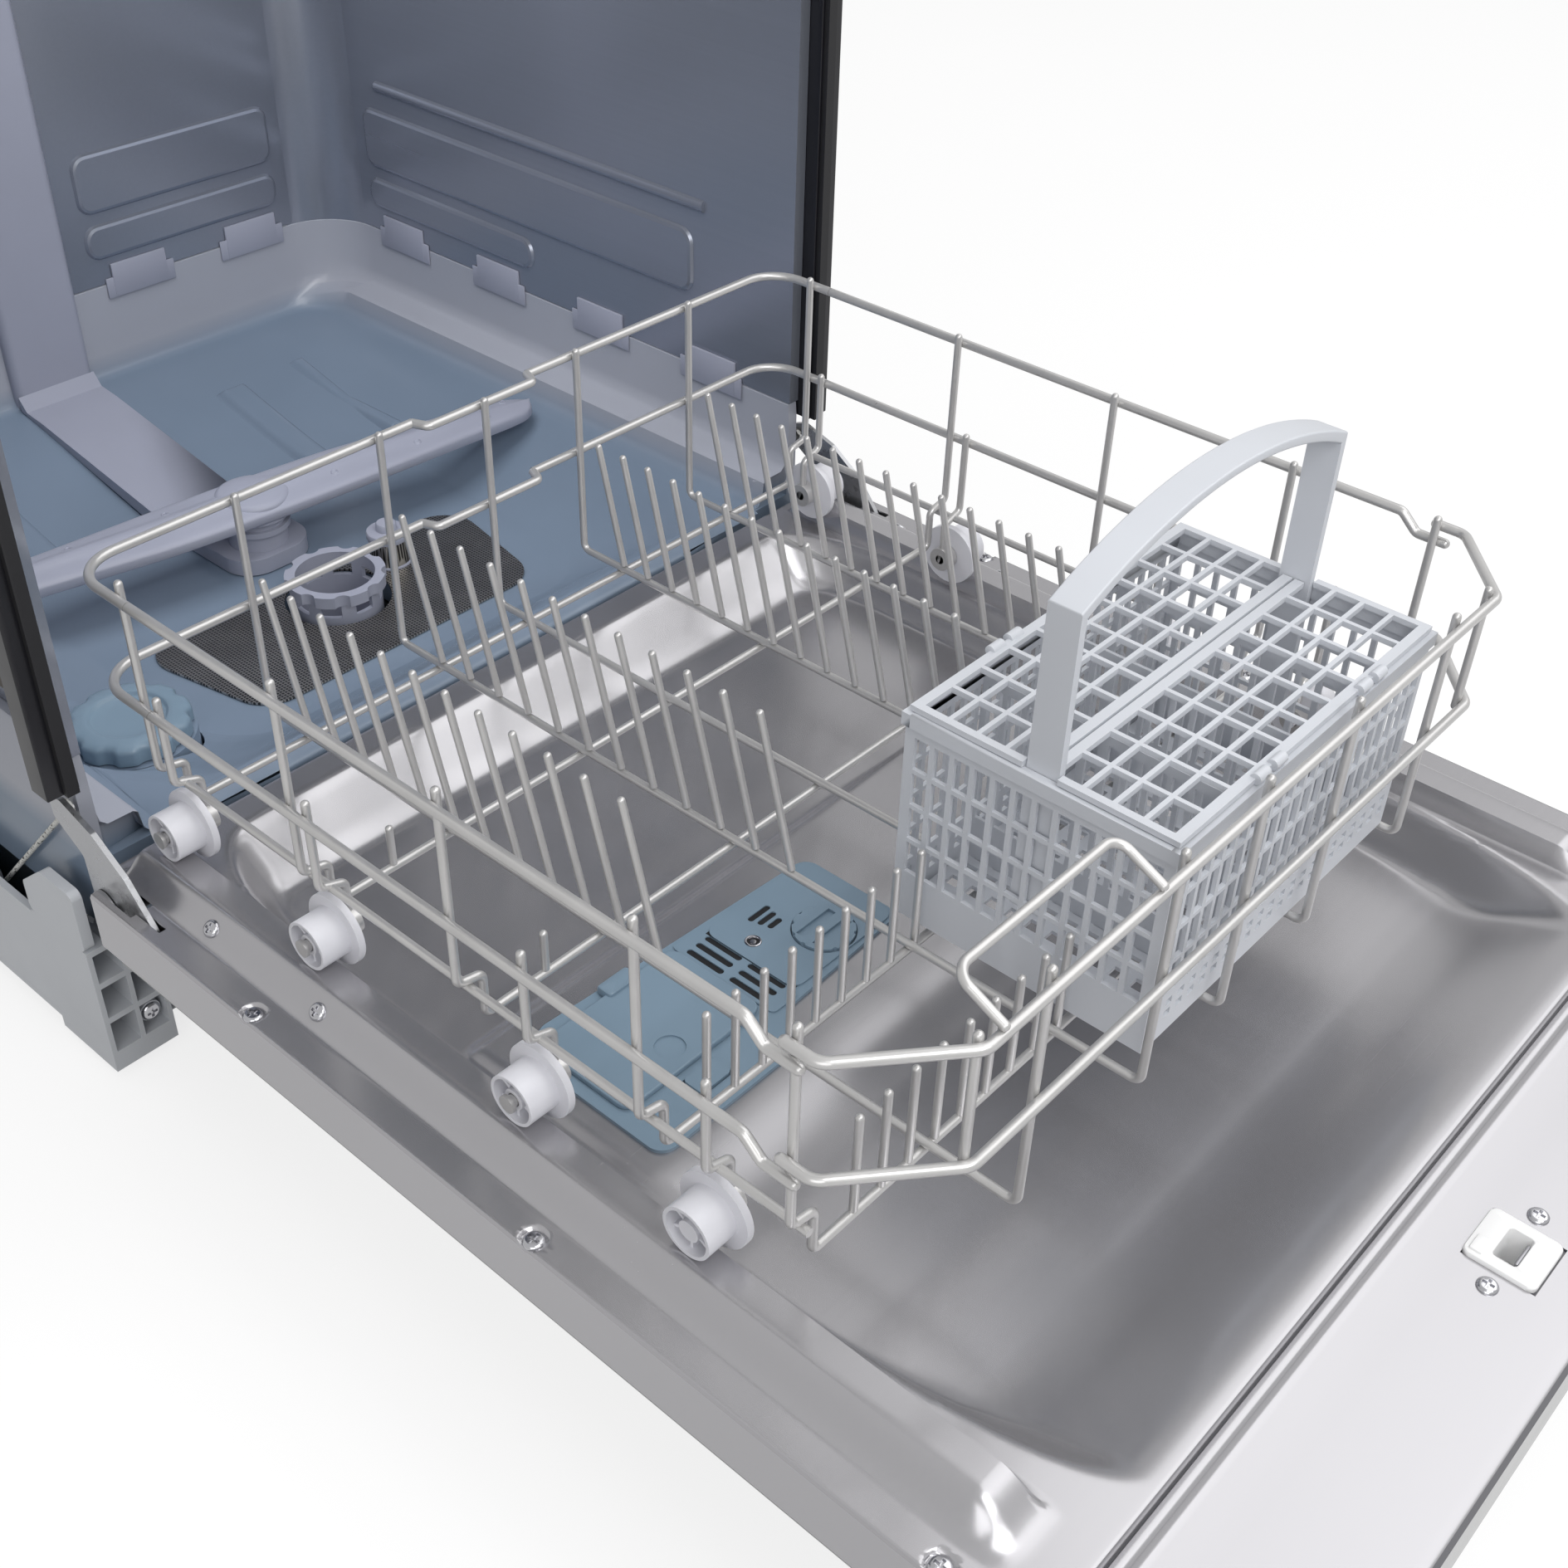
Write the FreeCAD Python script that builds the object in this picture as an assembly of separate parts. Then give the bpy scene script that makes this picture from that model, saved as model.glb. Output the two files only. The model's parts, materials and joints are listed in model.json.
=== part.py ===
import FreeCAD, Part
import os
from math import sin, cos, pi, sqrt, atan2, tan, hypot

V = FreeCAD.Vector
os.makedirs("parts", exist_ok=True)

# Built-in dishwasher, door open and lower rack drawn out. All sizes in mm.
# X runs to the right seen from the front, +Y to the back, +Z up, floor at Z 0.
# The front of the cabinet is at Y 0 until the assembly is centred at the end.

# cabinet
cabinet_width = 598.0
cabinet_height = 820.0
cabinet_back = 520.0
panel_thickness = 1.2
foot_height = 14.0
frame_front = 1.0
frame_back = 16.0
panel_front = 150.0
hinge_z = 140.0
hinge_y = -16.0
cabinet_half = cabinet_width / 2
tray_half = cabinet_half - 3
door_half = cabinet_half - 2

# tub, set in from the cabinet's outside
sheet = 1.2
tub_wall = 8.0
tub_half = cabinet_half - 29
tub_rear = cabinet_back - 17
tub_ceiling = cabinet_height - 30
tub_joint = hinge_z + 75
tub_front = 12.0
floor_top = hinge_z + 6
floor_low = floor_top - 32
floor_under = floor_low - 18

# door, measured from the hinge: "out" along the door, "up" off it
door_length = cabinet_height - hinge_z
door_tail = 11.0
door_sheet = 1.2
flange_up = 13.0
ledge_up = 25.5
dish_up = -16.0
skirt_up = -22.0
flange_inner = door_half - 19
ledge_outer = flange_inner - 13
ledge_inner = ledge_outer - 18
dish_half = ledge_inner - 19
panel_end = door_length - 92
ledge_end = panel_end - 28
dish_start = 38.0
dish_end = panel_end - 73

# lower rack
rack_floor = hinge_z + 47
rack_mid_rise = 65.5
rack_top_rise = 128.0
rack_rail_rise = 18.0
rack_half = tub_half - 18
rail_half = rack_half - 11
rack_rear = 13.0
rack_front = -501.0
rack_notch = 9.5
rim_r = 2.6
wire_r = 2.2
tine_r = 2.0
long_wires = (-160.0, -68.0, -2.0, 76.0, 170.0)
cross_wires = (-23.0, -140.0, -251.0, -365.0, -448.0)

# rack wheels
wheel_lines = (-35.0, -152.0, -297.0, -403.0)
wheel_z = hinge_z + 39
tread_r = 13.2
flange_r = 19.3
wheel_inside = ledge_inner - 8
wheel_outside = wheel_inside + 20.5
flange_width = 4.0
pin_r = 3.0

# cutlery basket
basket_left = -56.0
basket_right = 169.0
basket_back = -345.0
basket_front = -488.0
basket_rim = hinge_z + 167
basket_skin = 2.2
handle_corner = basket_rim + 85
handle_crown = handle_corner + 23
handle_width = 17.0

# spray arm, filter, salt
hub_y = 254.0
arm_half = tub_half - 42
arm_turn = -6.7
arm_low = floor_top + 4
filter_y = 169.0
salt_x = 82 - tub_half
salt_y = 118.0

# dispenser on the door
disp_x0 = 21 - dish_half
disp_x1 = -2.0
disp_out0 = 219.0
disp_out1 = 321.0
disp_rise = 6.0

# running clearance between moving pieces, and sink of a welded wire
clear = 0.4
weld = 0.15

# derived
mid_z = rack_floor + rack_mid_rise
top_z = rack_floor + rack_top_rise
rail_z = rack_floor + rack_rail_rise
cross_z = rack_floor - 2 * wire_r + weld
post_x = rack_half - rim_r - wire_r + weld
hook_x = wheel_inside - wire_r - 3.8
front_y = hinge_y - door_length
shift = V(0, -(front_y + cabinet_back) / 2, 0)


def box(x0, x1, y0, y1, z0, z1):
    return Part.makeBox(x1 - x0, y1 - y0, z1 - z0, V(x0, y0, z0))


def door_box(x0, x1, out0, out1, up0, up1):
    return box(x0, x1, hinge_y - out1, hinge_y - out0, hinge_z + up0, hinge_z + up1)


def rod(p, q, r):
    return Part.makeCylinder(r, (q - p).Length, p, q - p)


def tipped_rod(p, q, r):
    return rod(p, q, r).fuse(Part.makeSphere(r, q)).removeSplitter()


def disc(x, y, z, r, h):
    return Part.makeCylinder(r, h, V(x, y, z))


def across(x0, x1, y, z, r):
    return Part.makeCylinder(r, x1 - x0, V(x0, y, z), V(1, 0, 0))


def mirrored(shape):
    return shape.mirror(V(0, 0, 0), V(1, 0, 0))


def both(shapes):
    return list(shapes) + [mirrored(s) for s in shapes]


def path(points, bend, closed=False):
    """Straight edges joined by arcs of the given bend radius."""
    count = len(points)
    corners = range(1, count - 1)
    if closed:
        corners = range(count)
    if bend == 0:
        corners = range(0)
    start = {}
    end = {}
    arcs = {}
    for i in corners:
        a = points[i - 1]
        b = points[i]
        c = points[(i + 1) % count]
        u = (a - b).normalize()
        w = (c - b).normalize()
        half = u.getAngle(w) / 2
        cut = bend / tan(half)
        cut = min(cut, 0.49 * (a - b).Length, 0.49 * (c - b).Length)
        radius = cut * tan(half)
        middle = b + (u + w).normalize() * (radius / sin(half) - radius)
        start[i] = b + u * cut
        end[i] = b + w * cut
        arcs[i] = Part.Arc(start[i], middle, end[i]).toShape()
    edges = []
    last = count if closed else count - 1
    for i in range(last):
        j = (i + 1) % count
        a = end.get(i, points[i])
        b = start.get(j, points[j])
        if (b - a).Length > 1e-4:
            edges.append(Part.makeLine(a, b))
        if j in arcs:
            edges.append(arcs[j])
    return edges


def wire_run(points, r, bend):
    """A bent round wire as one solid for each straight and each bend."""
    solids = []
    for edge in path([V(*p) for p in points], bend):
        a = edge.valueAt(edge.FirstParameter)
        b = edge.valueAt(edge.LastParameter)
        if edge.Curve.TypeId == "Part::GeomLine":
            solids.append(rod(a, b, r))
        else:
            ring = Part.Wire(Part.makeCircle(r, a, edge.tangentAt(edge.FirstParameter)))
            solids.append(Part.Wire([edge]).makePipeShell([ring], True, False))
    return solids


def slab(points, thickness, bend):
    """A flat plate: rounded outline pushed along the given vector."""
    outline = Part.Wire(path([V(*p) for p in points], bend, True))
    return Part.Face(outline).extrude(V(*thickness))


def plate_x(points, x0, x1, bend=0):
    return slab([(x0, y, z) for y, z in points], (x1 - x0, 0, 0), bend)


def plate_y(points, y0, y1, bend=0):
    return slab([(x, y0, z) for x, z in points], (0, y1 - y0, 0), bend)


def plate_z(points, z0, z1, bend=0):
    return slab([(x, y, z0) for x, y in points], (0, 0, z1 - z0), bend)


def rectangle(x0, x1, y0, y1):
    return [(x0, y0), (x1, y0), (x1, y1), (x0, y1)]


def basin(low, low_z, low_bend, high, high_z, high_bend):
    """A tapered pocket between two rounded rectangles."""
    wires = []
    for corners, z, bend in ((low, low_z, low_bend), (high, high_z, high_bend)):
        wires.append(Part.Wire(path([V(x, y, z) for x, y in rectangle(*corners)], bend, True)))
    return Part.makeLoft(wires, True, True)


def cut(shape, tools):
    return shape.cut(Part.makeCompound(list(tools)))


def fused(shapes):
    whole = shapes[0]
    for s in shapes[1:]:
        whole = whole.fuse(s)
    return whole.removeSplitter()


def softened(shape, radius, keep):
    """Round the edges picked out by the test on their centre."""
    edges = [e for e in shape.Edges if keep(e)]
    return shape.makeFillet(radius, edges)


nodes = {}


def node(name, shapes):
    if not isinstance(shapes, (list, tuple)):
        shapes = [shapes]
    nodes[name] = Part.makeCompound(list(shapes))


# Base tray: floor, walls, two ribbed corner columns, a front beam with an opening.
tray_front = 20.0
tray_rear = cabinet_back - 5
tray_floor = 4.0
tray_height = floor_under - 2
column_inner = tray_half - 40
column_front = 8.0
column_back = 62.0
column_height = floor_under
fin_inner = tray_half - 6.2
fin_height = hinge_z - 3
tray_z = foot_height + tray_floor
base = [box(-tray_half, tray_half, column_back, tray_rear, foot_height, tray_z)]
base.append(box(-column_inner, column_inner, tray_front, column_back, foot_height, tray_z))
column = box(column_inner, tray_half, column_front, column_back, foot_height - 8, column_height)
pocket_rows = ((20.0, 42.0), (46.0, 68.0), (72.0, 92.0))
pockets = []
for low, high in pocket_rows:
    for x0, x1 in ((column_inner + 3, column_inner + 18.5), (column_inner + 21.5, tray_half - 3)):
        pockets.append(box(x0, x1, column_front - 1, column_front + 30, low, high))
column = cut(column, pockets)
boss = Part.makeCylinder(6.5, 26, V(column_inner + 11, column_front + 4, 31), V(0, 1, 0))
boss = boss.cut(Part.makeCylinder(2.6, 25, V(column_inner + 11, column_front + 3.5, 31), V(0, 1, 0)))
fin = plate_x([(column_front, column_height), (column_back, column_height),
               (column_back, fin_height - 20), (column_back - 24, fin_height),
               (column_front, fin_height)], fin_inner, tray_half, 5)
wall = box(tray_half - 4, tray_half, column_back, tray_rear, tray_z, tray_height)
ribs = []
for step in range(6):
    rib_y = column_back + 45 + 70 * step
    ribs.append(box(tray_half - 30, tray_half - 4, rib_y, rib_y + 3, tray_z, tray_z + 20))
base += both([column, boss, fin, wall] + ribs)
beam_opening = 150.0
base += both([box(beam_opening, column_inner, tray_front, tray_front + 4, tray_z, 88)])
base.append(box(-beam_opening, beam_opening, tray_front, tray_front + 4, tray_z, 30))
base.append(box(-beam_opening, beam_opening, tray_front, tray_front + 4, 74, 88))
base.append(box(-tray_half + 4, tray_half - 4, tray_rear - 4, tray_rear, tray_z, tray_height))
node("base_tray", base)

# Feet: threaded stems under wide pads, front pair under the columns.
feet = []
foot_x = tray_half - 22
for foot_y in (36.0, tray_rear - 45):
    stem_top = foot_height - 8.3 if foot_y < 100 else foot_height - 0.3
    feet.append(fused([disc(foot_x, foot_y, 0, 19, 4), disc(foot_x, foot_y, 0, 8, stem_top)]))
node("feet", both(feet))

# Counterweight across the back of the base.
weight_half = tray_half - 66
weight_back = tray_rear - 10
node("counterweight", box(-weight_half, weight_half, weight_back - 65, weight_back, tray_z + clear, 62))

# Moulded tub base: dished floor, wheel ledges, low walls, front sill, clip tabs.
wall_half = tub_half + tub_wall
outer_rear = tub_rear + tub_wall
floor_block = box(-wall_half, wall_half, tub_front, outer_rear, floor_under, floor_top)
basin_half = tub_half - 36
low_half = basin_half - 84
pocket = basin((-low_half, low_half, 78, tub_rear - 173), floor_low, 46,
               (-basin_half, basin_half, 26, tub_rear - 9), floor_top + 0.5, 60)
floor_skin = 6.0
pocket_back = basin((-low_half - 6, low_half + 6, 72, tub_rear - 167), floor_low - floor_skin, 50,
                    (-basin_half - 6, basin_half + 6, 20, tub_rear - 3), floor_top + 0.5, 62)
sump_seat = disc(0, filter_y, floor_under - 1, 66, 60)
salt_seat = disc(salt_x, salt_y, floor_under - 1, 44, 60)
hollow = box(-wall_half + floor_skin, wall_half - floor_skin, tub_front + floor_skin, outer_rear - floor_skin,
             floor_under - 1, floor_top - floor_skin)
hollow = cut(hollow, [pocket_back, sump_seat, salt_seat])
sump_hole = disc(0, filter_y, floor_under - 1, 36, 60)
salt_hole = disc(salt_x, salt_y, floor_under - 1, 38.5, 60)
floor_block = cut(floor_block, [pocket, sump_hole, salt_hole, hollow])
floor_fields = []
field_x = (-wall_half, salt_x, 0, wall_half)
field_y = (tub_front, salt_y, filter_y, outer_rear)
for x0, x1 in zip(field_x, field_x[1:]):
    for y0, y1 in zip(field_y, field_y[1:]):
        floor_fields += floor_block.common(box(x0, x1, y0, y1, floor_under, floor_top)).Solids
wheel_ledge = wheel_z - tread_r - 0.4
side_ledge = plate_x([(tub_front, floor_top), (tub_rear - 14, floor_top),
                      (tub_rear - 14, wheel_ledge), (tub_front + 4, wheel_ledge),
                      (tub_front, wheel_ledge - 4)], ledge_inner - 1, tub_half)
side_wall = box(tub_half, wall_half, tub_front, outer_rear, floor_top, tub_joint)
rear_wall = box(-tub_half, tub_half, tub_rear, outer_rear, floor_top, tub_joint)
tabs = []
for tab_y in (60.0, 170.0, 280.0, tub_rear - 113):
    tabs.append(box(tub_half - 1.6, tub_half, tab_y, tab_y + 46, tub_joint - 14, tub_joint))
rear_tabs = []
for tab_x in (66.0, 166.0):
    rear_tabs.append(box(tab_x, tab_x + 46, tub_rear - 1.6, tub_rear, tub_joint - 14, tub_joint))
sill_half = tub_half - 34
sill_front = 5.0
sill_top = floor_top + 3
sill = plate_x([(sill_front, floor_under), (tub_front, floor_under), (tub_front, floor_top),
                (tub_front + 8, floor_top), (tub_front + 6, sill_top), (sill_front, sill_top - 3)],
               -sill_half, sill_half, 1.5)
sill_end = box(sill_half, wall_half, hinge_y + ledge_up + 1.4, tub_front, floor_under, floor_top)
tub_sides = both([side_ledge, side_wall, sill_end] + tabs + rear_tabs)
node("tub_base", floor_fields + [rear_wall, sill] + tub_sides)

# Steel tub shell above the joint, with pressed beads and a bright front lip.
shell_low = tub_joint + 0.3
lip_front = hinge_y + ledge_up + 1.2
shell_front = frame_back + clear
shell_side = box(tub_half, tub_half + sheet, shell_front, tub_rear, shell_low, tub_ceiling)
bead_shares = (0.2, 0.44, 0.69, 0.84)
beads = []
for share in bead_shares:
    bead_z = tub_joint + (tub_ceiling - tub_joint) * share
    beads.append(tipped_rod(V(tub_half + 1.6, 90, bead_z), V(tub_half + 1.6, tub_rear - 73, bead_z), 4.5))
shell_side = fused([shell_side] + beads)
shell_rear = box(-tub_half, tub_half, tub_rear, tub_rear + sheet, shell_low, tub_ceiling)
shell_top = box(-tub_half, tub_half, shell_front, tub_rear, tub_ceiling, tub_ceiling + sheet)
lip_top = hinge_z + panel_end - 16
lip = box(tub_half, flange_inner + 0.6, lip_front, lip_front + 1, shell_low, lip_top)
lip_return = box(tub_half, tub_half + sheet, lip_front + 1, shell_front, shell_low, lip_top)
node("tub_shell", [shell_rear, shell_top] + both([shell_side, lip, lip_return]))

# Front frame: two posts and the header, then the seal that the door meets.
post_inner = flange_inner + 1
post_low = tub_joint - 11
header_low = hinge_z + panel_end - 14
header_top = cabinet_height - 1.8
post = box(post_inner, door_half, frame_front, frame_back, post_low, header_low)
header = box(-door_half, door_half, frame_front, frame_back, header_low, header_top)
header_back = box(-door_half + 3, door_half - 3, frame_front + 2.5, frame_back + 1,
                  header_low + 3, header_top - 3)
header = header.cut(header_back)
node("front_frame", [header] + both([post]))
seal_face = hinge_y + flange_up + clear
seal_back = frame_front
seal_post = box(post_inner + 2, post_inner + 9, seal_face, seal_back, post_low, header_low + 2)
seal_header = box(-post_inner - 9, post_inner + 9, seal_face, seal_back, header_low + 2, header_low + 10)
tail_sweep = hinge_y + hypot(door_tail, flange_up)
seal_sill = box(-sill_half, sill_half, tail_sweep + clear, sill_front, hinge_z - 4, hinge_z + 3)
node("door_seal", [seal_header, seal_sill] + both([seal_post]))

# Outer panels.
side_panel = box(cabinet_half - panel_thickness, cabinet_half, panel_front, cabinet_back - 2,
                 tray_height + 6, header_top)
node("side_panels", both([side_panel]))
node("back_panel", box(-door_half, door_half, cabinet_back - 2 - panel_thickness, cabinet_back - 2,
                       tray_height + 6, header_top))
top_plate = box(-cabinet_half, cabinet_half, frame_front, cabinet_back, header_top + 0.3, cabinet_height)
fixing_x = cabinet_half - 59
fixing_holes = [disc(x, 24, header_top - 1, 2.6, 10) for x in (-fixing_x, fixing_x)]
node("top_plate", cut(top_plate, fixing_holes))
felt_back = cabinet_back - 40
felt = box(tub_half + 7, tub_half + 20, frame_back + 3, felt_back, tub_joint + 35, tub_ceiling - 50)
felt_top = box(20 - tub_half, tub_half - 20, 60, felt_back, tub_ceiling + sheet, tub_ceiling + 18)
node("insulation", [felt_top] + both([felt]))

# Sump, pumps, softener and the rear connections under the tub.
sump = disc(0, filter_y, 42, 64, floor_under - 42.4)
sump_floor = 52.0
sump = sump.cut(disc(0, filter_y, sump_floor, 34, 60))
node("sump", sump)
pump_y = 290.0
pump = fused([across(-30, 92, pump_y, 60, 36), across(92, 112, pump_y, 60, 26),
              box(-10, 70, pump_y - 20, pump_y + 20, tray_z, 40),
              Part.makeCylinder(15, 60, V(-8, pump_y - 92, 60), V(0, 1, 0)).cut(
                  disc(0, filter_y, 30, 64, 90))])
drain = fused([across(70, 124, filter_y - 60, 52, 26), across(124, 150, filter_y - 60, 52, 17),
               box(80, 114, filter_y - 75, filter_y - 45, tray_z, 40)])
node("pumps", [pump, drain])
tank_top = floor_under - 4
tank = box(salt_x - 70, salt_x + 70, 62, 208, tray_z + clear, tank_top)
tank = softened(tank, 9, lambda e: e.BoundBox.ZLength > 40)
neck_top = floor_top - 15.5
neck = disc(salt_x, salt_y, tank_top - 2, 37.5, neck_top - tank_top + 2)
neck = neck.cut(disc(salt_x, salt_y, tank_top + 6, 30, 60))
node("softener_tank", fused([tank, neck]))
salt_cap = fused([disc(salt_x, salt_y, neck_top + clear, 36, 9),
                  box(salt_x - 27, salt_x + 27, salt_y - 4.5, salt_y + 4.5,
                      neck_top + 8, neck_top + 14.5)])
grips = []
for k in range(10):
    turn = 2 * pi * k / 10
    grips.append(disc(salt_x + 39 * cos(turn), salt_y + 39 * sin(turn), neck_top - 1, 6, 20))
node("salt_cap", cut(salt_cap, grips))
inlet_x = 190.0
outlet_end = cabinet_back - 0.5
valve_back = cabinet_back - 100
gland_back = cabinet_back - 20
spigot_start = cabinet_back - 54
inlet = fused([box(inlet_x - 24, inlet_x + 24, valve_back - 44, valve_back, 66, 92),
               Part.makeCylinder(13.2, outlet_end - valve_back + 10, V(inlet_x, valve_back - 10, 79),
                                 V(0, 1, 0))])
inlet = inlet.cut(Part.makeCylinder(8, 60, V(inlet_x, cabinet_back - 50, 79), V(0, 1, 0)))
gland_x = -190.0
gland = fused([Part.makeCylinder(9, outlet_end - gland_back, V(gland_x, gland_back, 80), V(0, 1, 0)),
               box(gland_x - 22, gland_x + 22, gland_back - 38, gland_back, 66, 92)])
gland = gland.cut(Part.makeCylinder(4.2, 30, V(gland_x, gland_back, 80), V(0, 1, 0)))
drain_x = 120.0
spigot = Part.makeCylinder(10, outlet_end - spigot_start, V(drain_x, spigot_start, 79), V(0, 1, 0))
spigot = spigot.cut(Part.makeCylinder(7, 40, V(drain_x, cabinet_back - 30, 79), V(0, 1, 0)))
node("rear_connections", [inlet, gland, spigot])
opening_cuts = []
for x, z, r in ((inlet_x, 79, 14), (gland_x, 80, 9.6), (drain_x, 79, 10.6)):
    opening_cuts.append(Part.makeCylinder(r, 30, V(x, tray_rear - 20, z), V(0, 1, 0)))
nodes["base_tray"] = nodes["base_tray"].cut(Part.makeCompound(opening_cuts))

# Ribbed drain hose from the pump to the spigot: a tube with rings along it.
hose_r = 9.0
hose_points = [(150, filter_y - 60, 52), (205, filter_y - 60, 52), (205, 330, 52), (drain_x, 330, 79),
               (drain_x, spigot_start, 79)]
hose = wire_run(hose_points, hose_r, 34)
ring_pitch = 8.0
hose_edges = path([V(*p) for p in hose_points], 34)
for edge in hose_edges:
    rings = int(edge.Length / ring_pitch)
    for k in range(rings):
        at = edge.FirstParameter + (edge.LastParameter - edge.FirstParameter) * (k + 0.5) / rings
        hose.append(Part.makeTorus(hose_r, 1.6, edge.valueAt(at), edge.tangentAt(at)))
node("drain_hose", hose)

# Feed duct: flat run over the floor, riser up the back wall, hub column; top sprinkler.
duct_half = 31.0
duct_gap = 0.8
duct_rise = 12.0
riser_depth = 8.4
slope_rear = tub_rear - 9
run_end = tub_rear - 171
run = plate_x([(hub_y - 26, floor_low + duct_gap), (run_end, floor_low + duct_gap),
               (run_end, floor_low + duct_rise), (hub_y - 26, floor_low + duct_rise)], -duct_half, duct_half)
arm_sweep = hub_y + arm_half + 4
climb = plate_x([(run_end, floor_low + duct_gap + 0.4), (slope_rear, floor_top + duct_gap + 0.5),
                 (slope_rear, floor_top + duct_rise), (arm_sweep, arm_low - 1.2),
                 (arm_sweep - 20, arm_low - 3), (run_end, floor_low + duct_rise)], -duct_half, duct_half)
riser_top = tub_ceiling - 90
riser = box(-duct_half, duct_half, slope_rear, tub_rear - 0.4, floor_top + duct_gap + 0.5, riser_top)
riser = softened(riser, 6, lambda e: e.BoundBox.ZLength > 400 and e.BoundBox.YMax < slope_rear + 1)
run = softened(run, 22, lambda e: e.BoundBox.ZLength > 5 and e.BoundBox.YMax < hub_y)
column_top = arm_low - 3
collar = disc(0, hub_y, floor_low + duct_rise, 20, column_top - floor_low - duct_rise - clear)
collar_ring = disc(0, hub_y, column_top - 9, 23, 4)
node("feed_duct", [run, climb, riser, fused([collar, collar_ring])])
sprinkler = Part.makeCone(16, 34, 9, V(0, hub_y, tub_ceiling - 14))
node("top_sprinkler", fused([sprinkler, disc(0, hub_y, tub_ceiling - 5, 34, 4.6)]))

# Spray arm: long blade on a hub, jets along the top.
blade = [(-arm_half, 10), (-arm_half + 14, 17), (-70, 24), (70, 28), (arm_half - 14, 15),
         (arm_half, 4), (arm_half, -8), (arm_half - 14, -16), (70, -24), (-70, -28),
         (-arm_half + 14, -15), (-arm_half, -4)]
arm = plate_z(blade, arm_low, arm_low + 11, 9)
arm = softened(arm, 3.2, lambda e: e.BoundBox.ZLength < 0.1 and e.BoundBox.ZMin > arm_low + 5)
spine = plate_z([(-170, -5), (170, -7), (170, 5), (-170, 7)], arm_low + 10, arm_low + 14, 4)
hub = disc(0, 0, arm_low - 2.6, 25, 17.2)
arm = fused([arm, spine, hub])
jets = []
for k, reach in enumerate((58, 92, 126, 158, 186, 208)):
    side = 11 if k % 2 else -11
    jets.append(disc(reach, side * (1 - reach / 460), arm_low + 6, 2.4, 12))
    jets.append(disc(-reach, -side * (1 - reach / 460), arm_low + 6, 2.4, 12))
arm = cut(arm, jets)
arm.rotate(V(0, 0, 0), V(0, 0, 1), arm_turn)
arm.translate(V(0, hub_y, 0))
node("spray_arm", arm)

# Filter: flat mesh plate over the sump and a lift-out cup with a scalloped collar.
plate_low = floor_low + clear
mesh = plate_z([(-132, filter_y + 40), (-110, filter_y - 72), (110, filter_y - 72), (132, filter_y + 40)],
               plate_low, plate_low + 1.4, 26)
mesh = mesh.cut(disc(0, filter_y, plate_low - 1, 35, 4))
node("filter_plate", mesh)
cup_r = 29.0
cup_top = floor_low + 21
cup_low = sump_floor + clear
cup = disc(0, filter_y, cup_low, cup_r, cup_top - cup_low).cut(disc(0, filter_y, cup_low + 4, cup_r - 3, 90))
windows = []
for k in range(8):
    window = box(-6.5, 6.5, cup_r - 8, cup_r + 5, plate_low + 3, cup_top - 9)
    window.rotate(V(0, 0, 0), V(0, 0, 1), 45 * k)
    window.translate(V(0, filter_y, 0))
    windows.append(window)
cup = cut(cup, windows)
scallops = []
for k in range(9):
    turn = 2 * pi * k / 9
    scallops.append(disc(36 * cos(turn), filter_y + 36 * sin(turn), cup_top - 9, 6, 20))
crown = disc(0, filter_y, cup_top - 8, 33, 8).cut(disc(0, filter_y, cup_top - 9, cup_r - 3, 20))
crown = cut(crown, scallops)
node("filter_cup", fused([cup, crown]))

# Hinges: fixed brackets with pivot pins; the arms belong to the door.
arm_x0 = flange_inner + 6.6
arm_x1 = arm_x0 + 3
bracket_x0 = flange_inner + 2
bracket_x1 = bracket_x0 + 3.4
pivot_end = arm_x1 + 2.6
bracket_foot = column_height + clear - hinge_z
outline = [(-11, -2), (-5, 11), (8, 10), (14, -2), (34, -36), (66, bracket_foot), (26, bracket_foot),
           (-6, -14)]
bracket = plate_x([(hinge_y + y, hinge_z + z) for y, z in outline], bracket_x0, bracket_x1, 4)
pivot = across(bracket_x1, pivot_end, hinge_y, hinge_z, 5)
pivot_head = across(arm_x1 + clear, pivot_end, hinge_y, hinge_z, 10)
node("hinge_brackets", both([fused([bracket, pivot, pivot_head])]))
rope_x = flange_inner + 4
hook_out = -30.0
hook_up = 45.0
sickle = [(44, -4), (44, 8), (24, 32), (0, 48), (-26, 56), (-37, 52), (-36, 40), (-14, 26),
          (-12, -9), (12, -9)]
hinge_arm = plate_x([(hinge_y - out, hinge_z + up) for out, up in sickle], arm_x0, arm_x1, 5)
hinge_arm = hinge_arm.cut(across(arm_x0 - 1, arm_x1 + 1, hinge_y, hinge_z, 5 + clear))
hook_y = hinge_y - hook_out
hook_z = hinge_z + hook_up
hook_pin = across(rope_x - 2.5, arm_x0, hook_y, hook_z, 2.6)
foot_plate = door_box(arm_x0, arm_x1, 40, 120, -9, 4)
node("hinge_arms", both([fused([hinge_arm, hook_pin, foot_plate])]))

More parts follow.
